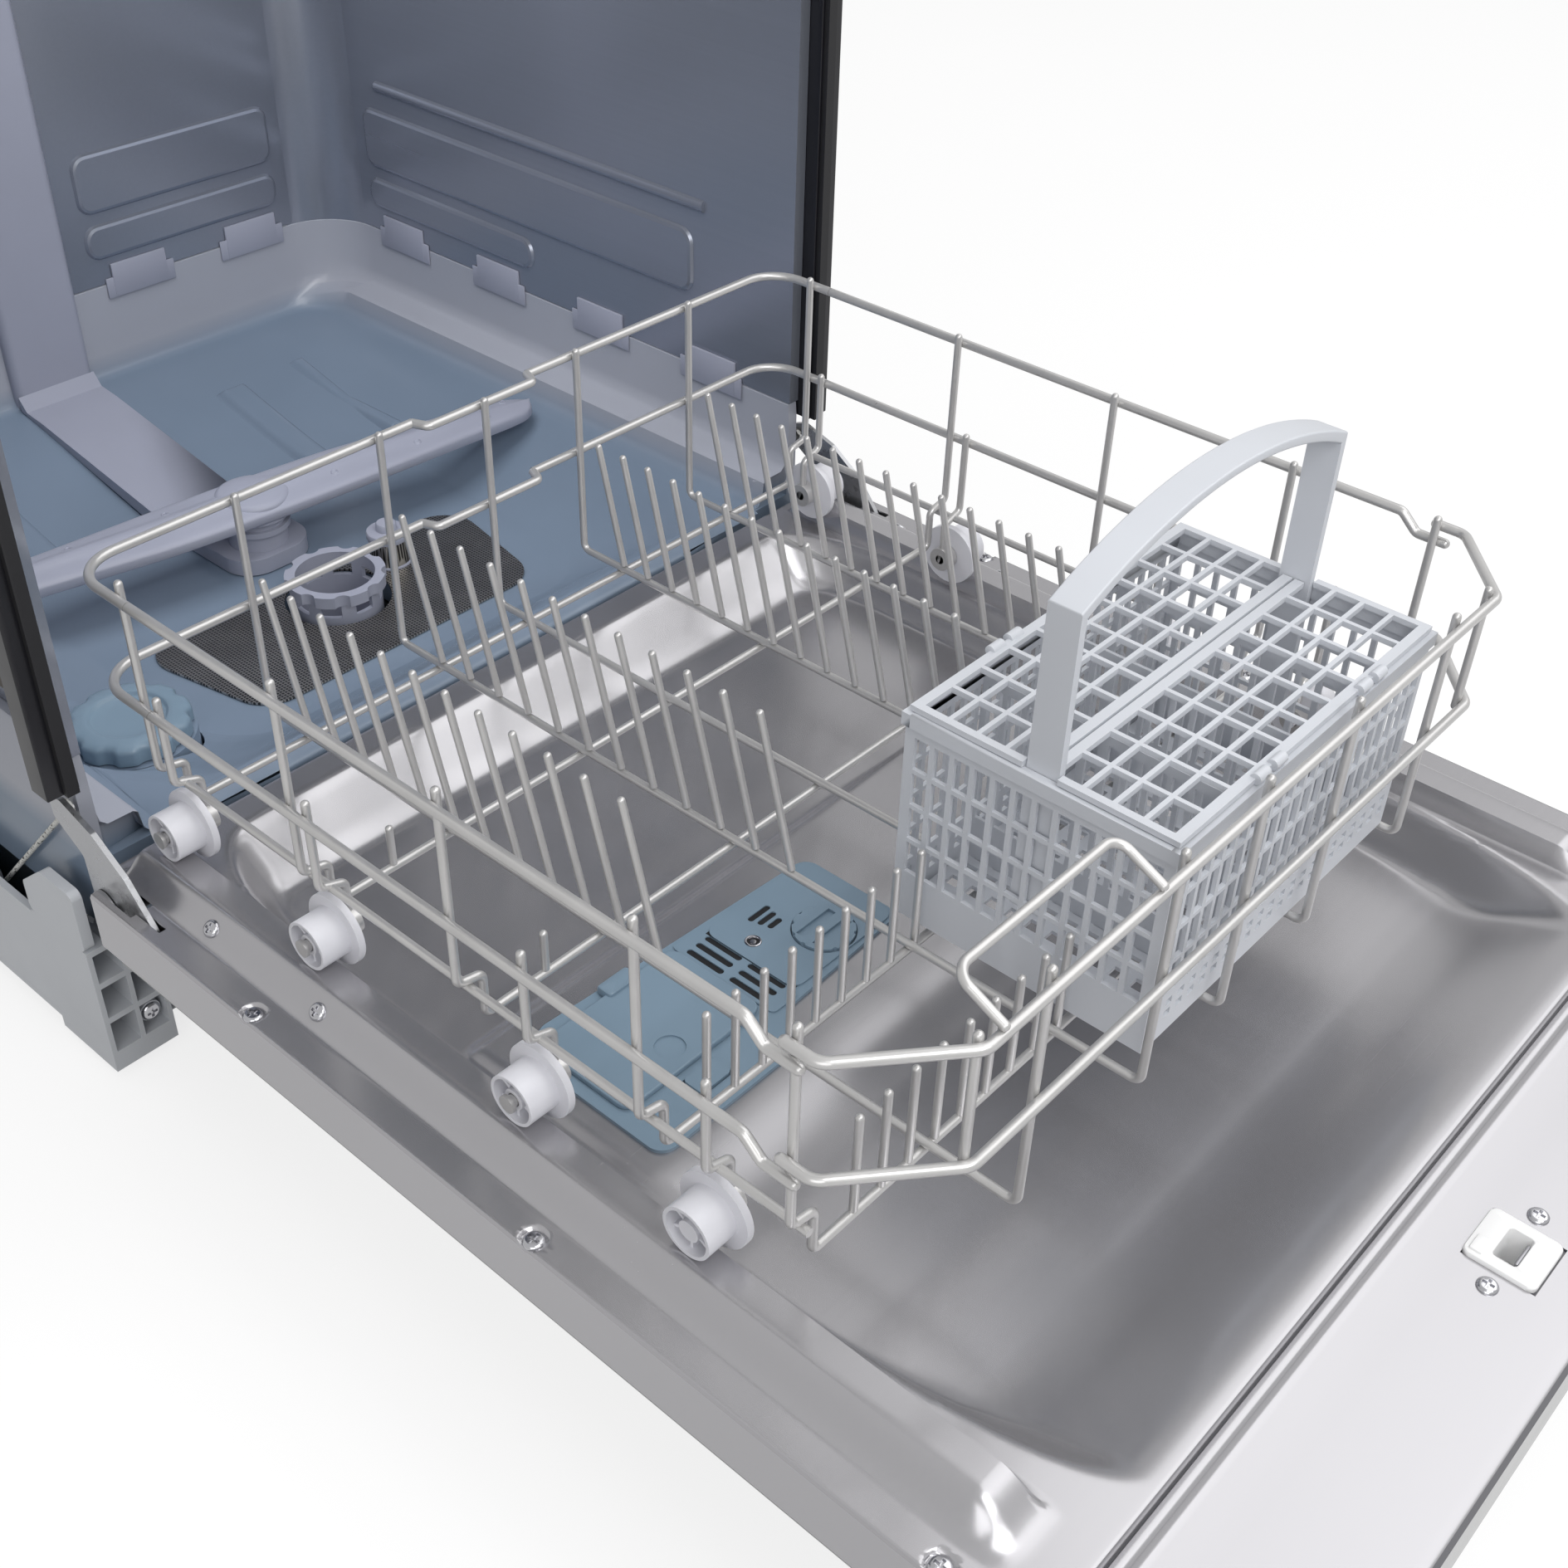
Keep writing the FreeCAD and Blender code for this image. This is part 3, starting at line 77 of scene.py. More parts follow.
class Signal:
    """A value on its way through a node tree; sums and products add their own nodes."""

    def __init__(self, nodes, socket):
        self.nodes = nodes
        self.socket = socket

    def __add__(self, other):
        return self.nodes.math("ADD", self, other)

    def __sub__(self, other):
        return self.nodes.math("SUBTRACT", self, other)

    def __rsub__(self, other):
        return self.nodes.math("SUBTRACT", other, self)

    def __mul__(self, other):
        return self.nodes.math("MULTIPLY", self, other)

    __radd__ = __add__
    __rmul__ = __mul__

    def wave(self, pitch):
        """Runs from 0 to 1 and back once in each pitch."""
        return self.nodes.math("SINE", self * (2 * pi / pitch), 0.0) * 0.5 + 0.5

    def above(self, level, soft):
        """0 below the level, 1 a soft step above it."""
        return self.nodes.math("MULTIPLY", self - level, 1 / soft, True)


class Nodes:
    """A node tree and the ways to add to it."""

    def __init__(self, tree):
        self.tree = tree

    def node(self, kind, settings=None, inputs=None):
        made = self.tree.nodes.new(kind)
        for key, value in (settings or {}).items():
            setattr(made, key, value)
        for key, value in (inputs or {}).items():
            self.feed(made.inputs[key], value)
        return made

    def feed(self, socket, value):
        value = getattr(value, "socket", value)
        if isinstance(value, bpy.types.NodeSocket):
            self.tree.links.new(value, socket)
        else:
            socket.default_value = value

    def math(self, operation, first, second, clamp=False):
        settings = {"operation": operation, "use_clamp": clamp}
        return Signal(self, self.node("ShaderNodeMath", settings, {0: first, 1: second}).outputs[0])


class Finish(Nodes):
    """A surface built up from nodes on one shader."""

    def __init__(self, name):
        self.material = bpy.data.materials.new(name)
        self.material.use_nodes = True
        super().__init__(self.material.node_tree)
        self.shader = self.tree.nodes["Principled BSDF"]
        self.spot = self.node("ShaderNodeTexCoord").outputs["Object"]

    def set(self, **values):
        for key, value in values.items():
            self.feed(self.shader.inputs[key.replace("_", " ")], value)
        return self

    def stretched(self, x, y, z):
        return self.node("ShaderNodeMapping", None, {"Vector": self.spot, "Scale": (x, y, z)}).outputs[0]

    def noise(self, scale, detail=2.0, spot=None):
        inputs = {"Vector": spot or self.spot, "Scale": scale, "Detail": detail}
        return Signal(self, self.node("ShaderNodeTexNoise", None, inputs).outputs[0])

    def axis(self, letter):
        split = self.node("ShaderNodeSeparateXYZ", None, {0: self.spot})
        return Signal(self, split.outputs[letter])

    def between(self, share, first, second):
        made = self.node("ShaderNodeMix", {"data_type": "RGBA"}, {0: share, 6: first, 7: second})
        return Signal(self, made.outputs[2])

    def shades(self, share, colour, low, high):
        """A colour that runs between a darker and a lighter shade of itself."""
        dark, light = [tuple(min(1.0, c * level) for c in colour) + (1.0,) for level in (low, high)]
        return self.between(share, dark, light)

    def raised(self, height, strength, depth):
        """Bumps up to a depth in millimetres."""
        inputs = {"Strength": strength, "Distance": depth * millimetre, "Height": height}
        return self.node("ShaderNodeBump", None, inputs).outputs[0]


def plastic(slot, colour, rough=0.38, grain=0.12, spread=0.1):
    """Moulded plastic: a little cloudy, finely grained, scuffed in places."""
    f = Finish(slot)
    scuff = f.noise(40.0, 4.0).above(0.55, 0.3)
    return f.set(Base_Color=f.shades(f.noise(9.0, 3.0), colour, 1 - spread, 1 + spread),
                 Roughness=scuff * 0.1 + rough, Normal=f.raised(f.noise(1400.0), grain, 0.15))


def tub_moulding(slot, colour):
    """Moulded floor of the tub, paler where it turns up into the walls."""
    upturn = (0.37, 0.385, 0.44)
    upturn_start = 0.146
    f = plastic(slot, colour, 0.25, 0.05)
    cloud = f.noise(7.0, 3.0)
    deep = f.shades(cloud, colour, 0.88, 1.14)
    pale = f.shades(cloud, upturn, 0.95, 1.06)
    return f.set(Base_Color=f.between(f.axis("Z").above(upturn_start, 0.018), deep, pale),
                 Roughness=cloud * 0.08 + 0.2)


def steel(slot, colour, rough=0.24, along=(3.0, 420.0, 420.0), streak=0.1, spread=0.06, metal=1.0):
    """Rolled sheet: fine streaks one way, softly clouded."""
    f = Finish(slot)
    streaks = f.noise(1.0, 3.0, f.stretched(*along))
    cloud = f.noise(6.0)
    return f.set(Base_Color=f.shades(streaks * 0.6 + cloud * 0.4, colour, 1 - spread, 1 + spread),
                 Metallic=metal, Roughness=streaks * streak + cloud * 0.06 + (rough - streak / 2 - 0.03),
                 Normal=f.raised(streaks, 0.015, 0.05))


def plated(slot, colour, rough=0.34, spread=0.16, spangle=120.0):
    """Zinc plate: flat crystals of slightly different brightness."""
    f = Finish(slot)
    cells = f.node("ShaderNodeTexVoronoi", None, {"Vector": f.spot, "Scale": spangle})
    tone = Signal(f, f.node("ShaderNodeSeparateColor", None, {0: cells.outputs["Color"]}).outputs[0])
    fine = f.noise(600.0, 3.0)
    return f.set(Base_Color=f.shades(tone * 0.6 + fine * 0.4, colour, 1 - spread, 1 + spread),
                 Metallic=0.9, Roughness=tone * 0.12 + (rough - 0.06), Normal=f.raised(fine, 0.06, 0.1))


def coated(slot, colour):
    """Nylon over wire: milky and a little uneven."""
    f = Finish(slot)
    cloud = f.noise(60.0, 3.0)
    return f.set(Base_Color=f.shades(cloud * 0.5 + f.noise(22.0) * 0.5, colour, 0.84, 1.12),
                 Metallic=0.6, Roughness=cloud * 0.14 + 0.24, Coat_Weight=0.3, Coat_Roughness=0.2,
                 Normal=f.raised(f.noise(420.0), 0.12, 0.2))


def painted(slot, colour):
    """Paint with a slight peel."""
    f = Finish(slot)
    return f.set(Base_Color=f.shades(f.noise(12.0, 3.0), colour, 0.85, 1.25),
                 Roughness=f.noise(40.0, 3.0) * 0.14 + 0.23, Normal=f.raised(f.noise(520.0), 0.08, 0.2))


def rubber(slot, colour):
    """Soft black with a pale bloom."""
    f = Finish(slot)
    bloom = f.noise(30.0, 4.0)
    return f.set(Base_Color=f.shades(bloom, colour, 0.8, 1.5), Roughness=bloom * 0.2 + 0.5,
                 Normal=f.raised(f.noise(900.0), 0.2, 0.2))


def fibre(slot, colour, fleck=0.0):
    """Matted or laid fibres, with dark tracer flecks where a rope has them."""
    f = Finish(slot)
    hair = f.noise(1.0, 5.0, f.stretched(900.0, 260.0, 700.0))
    tone = f.shades(hair, colour, 0.7, 1.15)
    if fleck:
        spots = f.noise(480.0, 0.0).above(0.62, 0.05)
        tone = f.between(spots * fleck, tone, (0.015, 0.015, 0.015, 1.0))
    return f.set(Base_Color=tone, Roughness=hair * 0.15 + 0.75, Normal=f.raised(hair, 0.5, 0.4))


def woven(slot, colour):
    """Wires crossing over gaps painted near black as shade, with painted glints along the wires."""
    f = Finish(slot)
    pitch = bpy.context.scene.machine_sizes.weave
    warp = f.axis("X").wave(pitch)
    weft = f.axis("Y").wave(pitch)
    wires = f.math("MAXIMUM", warp, weft).above(0.66, 0.2)
    glint = f.noise(45.0, 3.0)
    lit = f.shades(glint, colour, 0.6, 1.3)
    # the gaps between the wires are painted shade, near black; the glint noise paints highlights on the wires
    return f.set(Base_Color=f.between(wires, (0.012, 0.011, 0.01, 1.0), lit), Metallic=wires,
                 Roughness=glint * 0.2 + 0.22, Normal=f.raised(warp + weft, 0.3, 0.4))


def cast(slot, colour):
    """Rough cast iron."""
    f = Finish(slot)
    grain = f.noise(160.0, 6.0)
    return f.set(Base_Color=f.shades(grain, colour, 0.6, 1.4), Metallic=0.6, Roughness=grain * 0.2 + 0.6,
                 Normal=f.raised(grain, 0.6, 0.8))


def glossy(slot, colour, rough=0.12):
    """Polished plastic or glass under a clear coat."""
    f = Finish(slot)
    haze = f.noise(24.0, 4.0)
    return f.set(Base_Color=f.shades(haze, colour, 0.9, 1.12), Roughness=haze * 0.1 + (rough - 0.05),
                 Coat_Weight=0.5, Coat_Roughness=0.06, Normal=f.raised(f.noise(300.0, 1.0), 0.02, 0.1))


# each finish: its colour, its maker and what differs from the maker's own settings
looks = {
    "tray_plastic": (tint(202, 205, 210), plastic, {"rough": 0.42}),
    "tub_plastic": (tint(119, 134, 152), tub_moulding, {}),
    "tub_steel": (tint(156, 161, 173), steel, {"along": (420.0, 3.0, 420.0), "metal": 0.7}),
    "door_steel": (tint(181, 180, 183), steel, {"rough": 0.25, "along": (2.0, 700.0, 700.0), "streak": 0.05,
                                                "spread": 0.03, "metal": 0.78}),
    "black_frame": (tint(20, 20, 25), painted, {}),
    "black_rubber": (tint(22, 22, 25), rubber, {}),
    "zinc_sheet": (tint(150, 150, 150), plated, {}),
    "felt": (tint(92, 88, 84), fibre, {}),
    "mat_black": (tint(42, 42, 44), rubber, {}),
    "grey_plastic": (tint(158, 161, 176), plastic, {"rough": 0.36}),
    "dark_plastic": (tint(46, 46, 50), plastic, {"rough": 0.45}),
    "blue_grey_plastic": (tint(122, 143, 160), plastic, {"rough": 0.33}),
    "hinge_steel": (tint(174, 175, 178), plated, {"rough": 0.32, "spread": 0.1, "spangle": 340.0}),
    "spring_steel": (tint(160, 160, 164), steel, {"rough": 0.3, "along": (300.0, 60.0, 300.0)}),
    "rope": (tint(226, 226, 222), fibre, {"fleck": 0.9}),
    "mesh_steel": (tint(200, 196, 190), woven, {}),
    "coated_wire": (tint(200, 199, 198), coated, {}),
    "wheel_plastic": (tint(220, 220, 226), plastic, {"rough": 0.34, "grain": 0.08, "spread": 0.05}),
    "basket_plastic": (tint(202, 205, 211), plastic, {"rough": 0.4, "grain": 0.1, "spread": 0.07}),
    "fascia_plastic": (tint(66, 66, 72), glossy, {}),
    "key_plastic": (tint(186, 186, 190), plastic, {"rough": 0.3}),
    "display_glass": (tint(26, 28, 32), glossy, {"rough": 0.07}),
    "latch_plastic": (tint(238, 238, 238), plastic, {"rough": 0.35, "grain": 0.06, "spread": 0.04}),
    "screw_steel": (tint(196, 196, 200), steel,
                    {"rough": 0.18, "along": (200.0, 200.0, 200.0), "streak": 0.08}),
    "iron_weight": (tint(74, 72, 70), cast, {}),
}
finishes = {}


def finish_for(slot):
    """The material of a slot, made when it is first asked for."""
    if slot not in finishes:
        shade = tuple(getattr(bpy.context.scene.finish_colours, slot))
        maker, settings = looks[slot][1:]
        finishes[slot] = maker(slot, shade, **settings).material
    return finishes[slot]


# Settings

class FinishColours(bpy.types.PropertyGroup):
    """One colour for each finish on the machine."""
    __annotations__ = {
        slot: FloatVectorProperty(
            name=slot.replace("_", " ").capitalize(), description="Colour of the " + slot.replace("_", " "),
            subtype="COLOR", size=3, min=0.0, max=1.0, default=look[0])
        for slot, look in looks.items()
    }


def length(label, words, value):
    return FloatProperty(name=label, description=words, default=value * millimetre, unit="LENGTH", min=0.0)


class MachineSizes(bpy.types.PropertyGroup):
    """Sizes of the pressed and moulded pieces that a user may change."""
    sheet: length("Door sheet", "Thickness of the pressed inner door", 1.0)
    moulding: length("Moulding wall", "Thickness of the moulded tub floor", 2.4)
    dimple: length("Screw dimple", "Depth of the dimple round a flange screw", 1.7)
    screw: length("Screw head", "Radius of a pan head", 5.2)
    rope: length("Rope", "Diameter of a balance rope", 3.0)
    weave: length("Filter weave", "Pitch of the woven filter wires", 2.3)
    strands: IntProperty(
        name="Rope strands", description="Strands laid up in a balance rope", default=3, min=2, max=5)


# Making pieces

def ease(t):
    t = min(max(t, 0.0), 1.0)
    return t * t * (3 - 2 * t)


def soft_max(a, b, blend):
    lap = max(blend - abs(a - b), 0.0) / blend
    return max(a, b) + lap * lap * blend / 4


def soft_min(a, b, blend):
    return -soft_max(-a, -b, blend)


def lines(runs, exact=(), gap=0.45):
    """Sorted places for a grid's lines: evenly spaced runs, giving way to exact ones."""
    kept = sorted(exact)
    for start, stop, count in runs:
        for k in range(count + 1):
            value = start + (stop - start) * k / count
            if all(abs(value - other) > gap for other in kept):
                kept.append(value)
    return sorted(kept)


def moulded(columns, rows, place, closed=False):
    """A grid whose points are laid one by one; a closed one is welded into a tube or a cap."""
    shape = bmesh.new()
    bmesh.ops.create_grid(shape, x_segments=columns, y_segments=rows, size=1.0)
    for v in shape.verts:
        v.co = place(round((v.co.x + 1) / 2 * columns), round((v.co.y + 1) / 2 * rows))
    if closed:
        bmesh.ops.remove_doubles(shape, verts=shape.verts, dist=0.002)
        bmesh.ops.dissolve_degenerate(shape, edges=shape.edges, dist=0.001)
        bmesh.ops.recalc_face_normals(shape, faces=shape.faces)
    return shape


def face_up(shape):
    if sum(f.normal.z * f.calc_area() for f in shape.faces) < 0:
        bmesh.ops.reverse_faces(shape, faces=shape.faces)


def pressed(xs, ys, height):
    """A sheet pressed to a height over chosen lines."""
    shape = moulded(len(xs) - 1, len(ys) - 1, lambda i, j: (xs[i], ys[j], height(xs[i], ys[j])))
    shape.normal_update()
    face_up(shape)
    return shape


def joined(shapes):
    """Several shapes in one mesh."""
    whole = bmesh.new()
    for shape in shapes:
        part = bpy.data.meshes.new("part")
        shape.to_mesh(part)
        shape.free()
        whole.from_mesh(part)
        bpy.data.meshes.remove(part)
    return whole


def block(low, high, rounding, segments=2):
    """A block with rounded edges between two corners."""
    shape = bmesh.new()
    bmesh.ops.create_cube(shape, size=1.0)
    low, high = Vector(low), Vector(high)
    bmesh.ops.scale(shape, vec=high - low, verts=shape.verts)
    bmesh.ops.translate(shape, vec=(high + low) / 2, verts=shape.verts)
    bmesh.ops.bevel(shape, geom=shape.edges, offset=rounding, offset_type="OFFSET", affect="EDGES",
                    segments=segments, profile=0.5, material=-1)
    return shape


def stood(shape, seat, axis):
    """Turns an upright shape to an axis and sets it on its seat."""
    turn = Vector((0, 0, 1)).rotation_difference(Vector(axis).normalized()).to_matrix().to_4x4()
    bmesh.ops.transform(shape, matrix=Matrix.Translation(Vector(seat)) @ turn, verts=shape.verts)
    return shape


def turned(profile, centre, axis=(0, 0, 1), steps=32):
    """A lathe shape from (radius, height) pairs, on an axis through a centre."""
    shape = bmesh.new()
    ring = [shape.verts.new((r, 0, h)) for r, h in profile]
    edges = [shape.edges.new(pair) for pair in zip(ring, ring[1:])]
    bmesh.ops.spin(shape, geom=ring + edges, cent=(0, 0, 0), axis=(0, 0, 1), angle=2 * pi, steps=steps,
                   use_merge=True)
    bmesh.ops.remove_doubles(shape, verts=shape.verts, dist=0.002)
    bmesh.ops.recalc_face_normals(shape, faces=shape.faces)
    return stood(shape, centre, axis)


def rounded(x, y, half_x, half_y, bend, steps=6):
    """Points round a rectangle with rounded corners."""
    bend = min(bend, half_x, half_y)
    ring = []
    for quarter, (sx, sy) in enumerate(((1, 1), (-1, 1), (-1, -1), (1, -1))):
        middle_x = x + sx * (half_x - bend)
        middle_y = y + sy * (half_y - bend)
        for k in range(steps + 1):
            turn = pi / 2 * (quarter + k / steps)
            ring.append((middle_x + bend * cos(turn), middle_y + bend * sin(turn)))
    return ring


def lofted(rings):
    """A skin through rings of points, closed all round."""
    count = len(rings[0])
    return moulded(count, len(rings) - 1, lambda k, j: rings[j][k % count], True)


def stacked(levels):
    """A solid lofted through rounded rectangles (x, y, half_x, half_y, bend, z), closed at both ends."""
    rings = [[(x, y, level[5]) for x, y in rounded(*level[:5])] for level in levels]
    foot, top = [[(level[0], level[1], level[5])] * len(rings[0]) for level in (levels[0], levels[-1])]
    return lofted([foot] + rings + [top])


def drawn_to(shape, edges, z):
    """Walls from open edges straight up or down to a height."""
    made = bmesh.ops.extrude_edge_only(shape, edges=edges)
    for v in made["geom"]:
        if isinstance(v, bmesh.types.BMVert):
            v.co.z = z


def pierced(outer, holes, z):
    """A flat sheet with holes through it."""
    shape = bmesh.new()
    for ring in [outer] + holes:
        verts = [shape.verts.new((x, y, z)) for x, y in ring]
        bmesh.ops.remove_doubles(shape, verts=verts, dist=0.01)
        verts = [v for v in verts if v.is_valid]
        for a, b in zip(verts, verts[1:] + verts[:1]):
            shape.edges.new((a, b))
    bmesh.ops.triangle_fill(shape, use_beauty=True, use_dissolve=False, edges=shape.edges, normal=(0, 0, 1))
    shape.normal_update()
    face_up(shape)
    return shape


def pan_screw(seat, axis, radius):
    """A pan head with a cross recess, standing on its seat."""
    reach = 0.56 * radius
    waist = 0.15 * radius
    rise = 0.34 * radius
    steps = 24
    # share of the radius, or of the cross where a 1 follows, and share of the rise
    rings = ((0.0, -0.3, 0), (1.0, -0.3, 0), (1.0, 0.16, 0), (0.93, 0.5, 0), (0.8, 0.85, 0), (0.66, 1.0, 0),
             (1.0, 1.02, 1), (0.86, 0.35, 1), (0.0, 0.25, 0))

    def cross(turn):
        bend = (turn + pi / 4) % (pi / 2) - pi / 4
        side = abs(sin(bend))
        return min(reach / cos(bend), waist / side) if side > 1e-6 else reach

    def place(k, j):
        turn = 2 * pi * k / steps
        share, height, crossed = rings[j]
        away = share * (cross(turn) if crossed else radius)
        return (away * cos(turn), away * sin(turn), height * rise)

    return stood(moulded(steps, len(rings) - 1, place, True), seat, axis)


def piece(name, shape, slot, body, stands_for=(), sharp=38.0, wall=0.0, even=True):
    """Moves a shape into the shared frame and makes it a piece with the finish of its slot, on its body."""
    bmesh.ops.translate(shape, vec=(0, front_shift, 0), verts=shape.verts)
    bmesh.ops.scale(shape, vec=(millimetre,) * 3, verts=shape.verts)
    mesh = bpy.data.meshes.new(name)
    shape.to_mesh(mesh)
    shape.free()
    mesh.polygons.foreach_set("use_smooth", [True] * len(mesh.polygons))
    mesh.set_sharp_from_angle(angle=radians(sharp))
    mesh.materials.append(finish_for(slot))
    made = bpy.data.objects.new(name, mesh)
    bpy.context.scene.collection.objects.link(made)
    if wall:
        thick = made.modifiers.new("wall", "SOLIDIFY")
        thick.thickness = wall
        thick.offset = -1.0
        thick.use_even_offset = even
        crisp = made.modifiers.new("crisp", "EDGE_SPLIT")
        crisp.split_angle = radians(sharp)
    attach(made, body)
    if stands_for:
        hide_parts(*stands_for)
    return made


def on_door(x, out, up):
    return (x, hinge_y - out, hinge_z + up)


# The CAD pieces' own finish

unrounded = ("rack_floor", "rack_rear", "rack_front", "rack_side_left", "rack_side_right", "plate_tines",
             "balance_springs", "drain_hose", "tub_shell", "door_outer", "door_mat", "top_plate",
             "side_panels", "back_panel")
usual_rounding = 0.35
edge_rounding = {
    "front_frame": 0.9, "door_seal": 1.4, "counterweight": 2.0, "base_tray": 0.5, "basket_handle": 0.9,
    "control_fascia": 0.9, "basket": 0.3, "basket_lid_front": 0.3, "basket_lid_rear": 0.3,
    "feed_duct": 1.6, "filter_cup": 0.5, "hinge_arms": 0.4, "hinge_brackets": 0.4, "pumps": 0.8, "sump": 0.8,
    "softener_tank": 1.0, "top_sprinkler": 0.8, "dispenser": 0.6, "detergent_lid": 0.4, "lid_key": 0.4,
    "rinse_cap": 0.4, "filter_plate": 0.3,
}


def dress(node, slot):
    thing = frame["nodes"][node]
    mesh = thing.data
    mesh.materials.clear()
    mesh.materials.append(finish_for(slot))
    mesh.polygons.foreach_set("use_smooth", [True] * len(mesh.polygons))
    weld = thing.modifiers.new("weld", "WELD")
    weld.merge_threshold = 0.00002
    if node in unrounded:
        crease = thing.modifiers.new("crease", "EDGE_SPLIT")
        crease.split_angle = radians(40)
    else:
        soft = thing.modifiers.new("edges", "BEVEL")
        soft.width = edge_rounding.get(node, usual_rounding) * millimetre
        soft.segments = 2
        soft.limit_method = "ANGLE"
        soft.angle_limit = radians(42)
        soft.profile = 0.5
    even = thing.modifiers.new("normals", "WEIGHTED_NORMAL")
    even.keep_sharp = True


class DISHWASHER_OT_frame(bpy.types.Operator):
    """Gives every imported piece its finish"""
    bl_idname = "dishwasher.frame"
    bl_label = "Finish the packed pieces"

    def execute(self, context):
        for part in frame["record"]["subparts"]:
            dress(part["node"], part["material_slot"])
        return {"FINISHED"}


# Inner door

screw_outs = (130.0, 327.0, 545.0)
flange_screws = [(side * 290.0, out) for side in (-1, 1) for out in screw_outs]
door_half = 296.0
door_tail = -11.0
door_end = 588.0
skirt_up = -22.0
rim_bend = 1.6
flange_up = 13.0
ledge_rise = 12.5
dish_up = -16.0
dish_rise = 42.0
dish_round = 1.2
land_rise = 4.0
# where each slope starts and how wide it is, across from the middle or out from the hinge
ledge_outer = (277.0, 12.0)
ledge_inner = (243.4, 4.0)
ledge_rear = (-4.0, 7.0)
ledge_front = (566.0, 26.0)
dish_side = (228.0, 19.0)
dish_rear = (38.0, 40.0)
dish_front = (515.0, 87.0)
land_side = (228.0, 14.0)
land_rear = (198.0, 10.0)
land_front = (366.0, 44.0)
dimple_edge = (6.9, 1.5)
# openings for the hinge arms: sides and front end
arm_notch = (278.6, 291.5, 30.0)
arm_slot = (284.0, 288.2, 50.0)
# opening for the dispenser: its left, its step and its right, then its rear, its front right and front left
pit_xs = (-199.0, -109.0, -10.0)
pit_outs = (227.0, 293.6, 313.0)


def past(value, slope):
    """How far a value has come past the start of a slope, in widths of it."""
    return (value - slope[0]) / slope[1]


def before(value, slope):
    """How far a value still is from the start of a slope, in widths of it."""
    return (slope[0] - value) / slope[1]


def door_height(x, out, dimple):
    """Height of the pressed inner door over the hinge line."""
    side = abs(x)
    slope = soft_min(soft_max(before(side, ledge_outer), 0.0, 0.26), 1.0, 0.3)
    along = ease(past(out, ledge_rear)) * ease(before(out, ledge_front))
    top = flange_up + ledge_rise * slope * along * ease(past(side, ledge_inner))
    round_x = past(side, dish_side) + dish_round
    round_y = max(before(out, dish_rear), past(out, dish_front)) + dish_round
    share = hypot(max(round_x, 0.0), max(round_y, 0.0)) - dish_round + min(max(round_x, round_y), 0.0)
    land = land_rise * ease(past(out, land_rear)) * ease(before(out, land_front))
    land *= ease(before(side, land_side))
    up = soft_min(top, land + dish_up + soft_max(0.0, dish_rise * share, 9.0), 4.5)
    for screw_x, screw_out in flange_screws:
        up -= dimple * ease(before(hypot(x - screw_x, out - screw_out), dimple_edge))
    edge = min(door_half - side, out - door_tail, door_end - out)
    if edge < rim_bend:
        up -= rim_bend - sqrt(max(rim_bend ** 2 - (rim_bend - edge) ** 2, 0.0))
    return up


class DISHWASHER_OT_door_skin(bpy.types.Operator):
    """Pressed steel inside of the door, with wheel ledges and a dished middle"""
    bl_idname = "dishwasher.door_skin"
    bl_label = "Inner door"

    half_runs = ((0, 204, 12), (208, 252, 22), (253, 263, 5), (264, 281, 12), (282, 294, 12), (294.2, 296, 4))
    out_runs = ((-11, -9.2, 4), (-8, 52, 30), (56, 192, 10), (195, 211, 8), (216, 318, 7), (321, 367, 14),
                (372, 500, 9), (504, 586, 30), (586.2, 588, 4))
    screw_steps = (-7, -6.3, -5.6, -4.6, -2.5, 0, 2.5, 4.6, 5.6, 6.3, 7)

    def execute(self, context):
        sizes = context.scene.machine_sizes
        dimple = sizes.dimple / millimetre
        half = lines(self.half_runs, (0.0, door_half, *arm_notch[:2], *arm_slot[:2], *(-x for x in pit_xs)))
        xs = [-x for x in reversed(half) if x > 0] + half
        screw_lines = [out + step for out in screw_outs for step in self.screw_steps]
        opening_lines = [0.0, arm_notch[2], arm_slot[2], *pit_outs]
        outs = lines(self.out_runs, [door_tail, door_end] + opening_lines + screw_lines)
        shape = pressed(xs, [hinge_y - out for out in outs],
                        lambda x, y: hinge_z + door_height(x, hinge_y - y, dimple))
        opened = [f for f in shape.faces if self.cut_away(f.calc_center_median())]
        bmesh.ops.delete(shape, geom=opened, context="FACES")
        rims = [e for e in shape.edges if e.is_boundary and self.on_rim(e)]
        drawn_to(shape, rims, hinge_z + skirt_up)
        shape.normal_update()
        piece("door_skin", shape, "door_steel", "door", ["door_inner"], 30.0, sizes.sheet)
        return {"FINISHED"}

    @staticmethod
    def cut_away(spot):
        """Whether a hinge arm or the dispenser passes here."""
        side = abs(spot.x)
        out = hinge_y - spot.y
        arm = any(inner < side < outer and out < front for inner, outer, front in (arm_notch, arm_slot))
        tail = side > arm_notch[0] and out < 0
        pit_front = pit_outs[2] if spot.x < pit_xs[1] else pit_outs[1]
        pit = pit_xs[0] < spot.x < pit_xs[2] and pit_outs[0] < out < pit_front
        return arm or tail or pit

    @staticmethod
    def on_rim(edge):
        for v in edge.verts:
            out = hinge_y - v.co.y
            if abs(v.co.x) < door_half - 0.01 and door_tail + 0.01 < out < door_end - 0.01:
                return False
        a, b = edge.verts
        return abs(a.co.x - b.co.x) < 1e-3 or abs(a.co.y - b.co.y) < 1e-3


# Tub floor moulding

tub_half = 270.0
tub_rear = 503.0
tub_bend = 46.0
wall_front = 12.0
basin_low = 114.0
basin_top = 146.2
# every point of the basin lies below this
floor_zone = 147.0
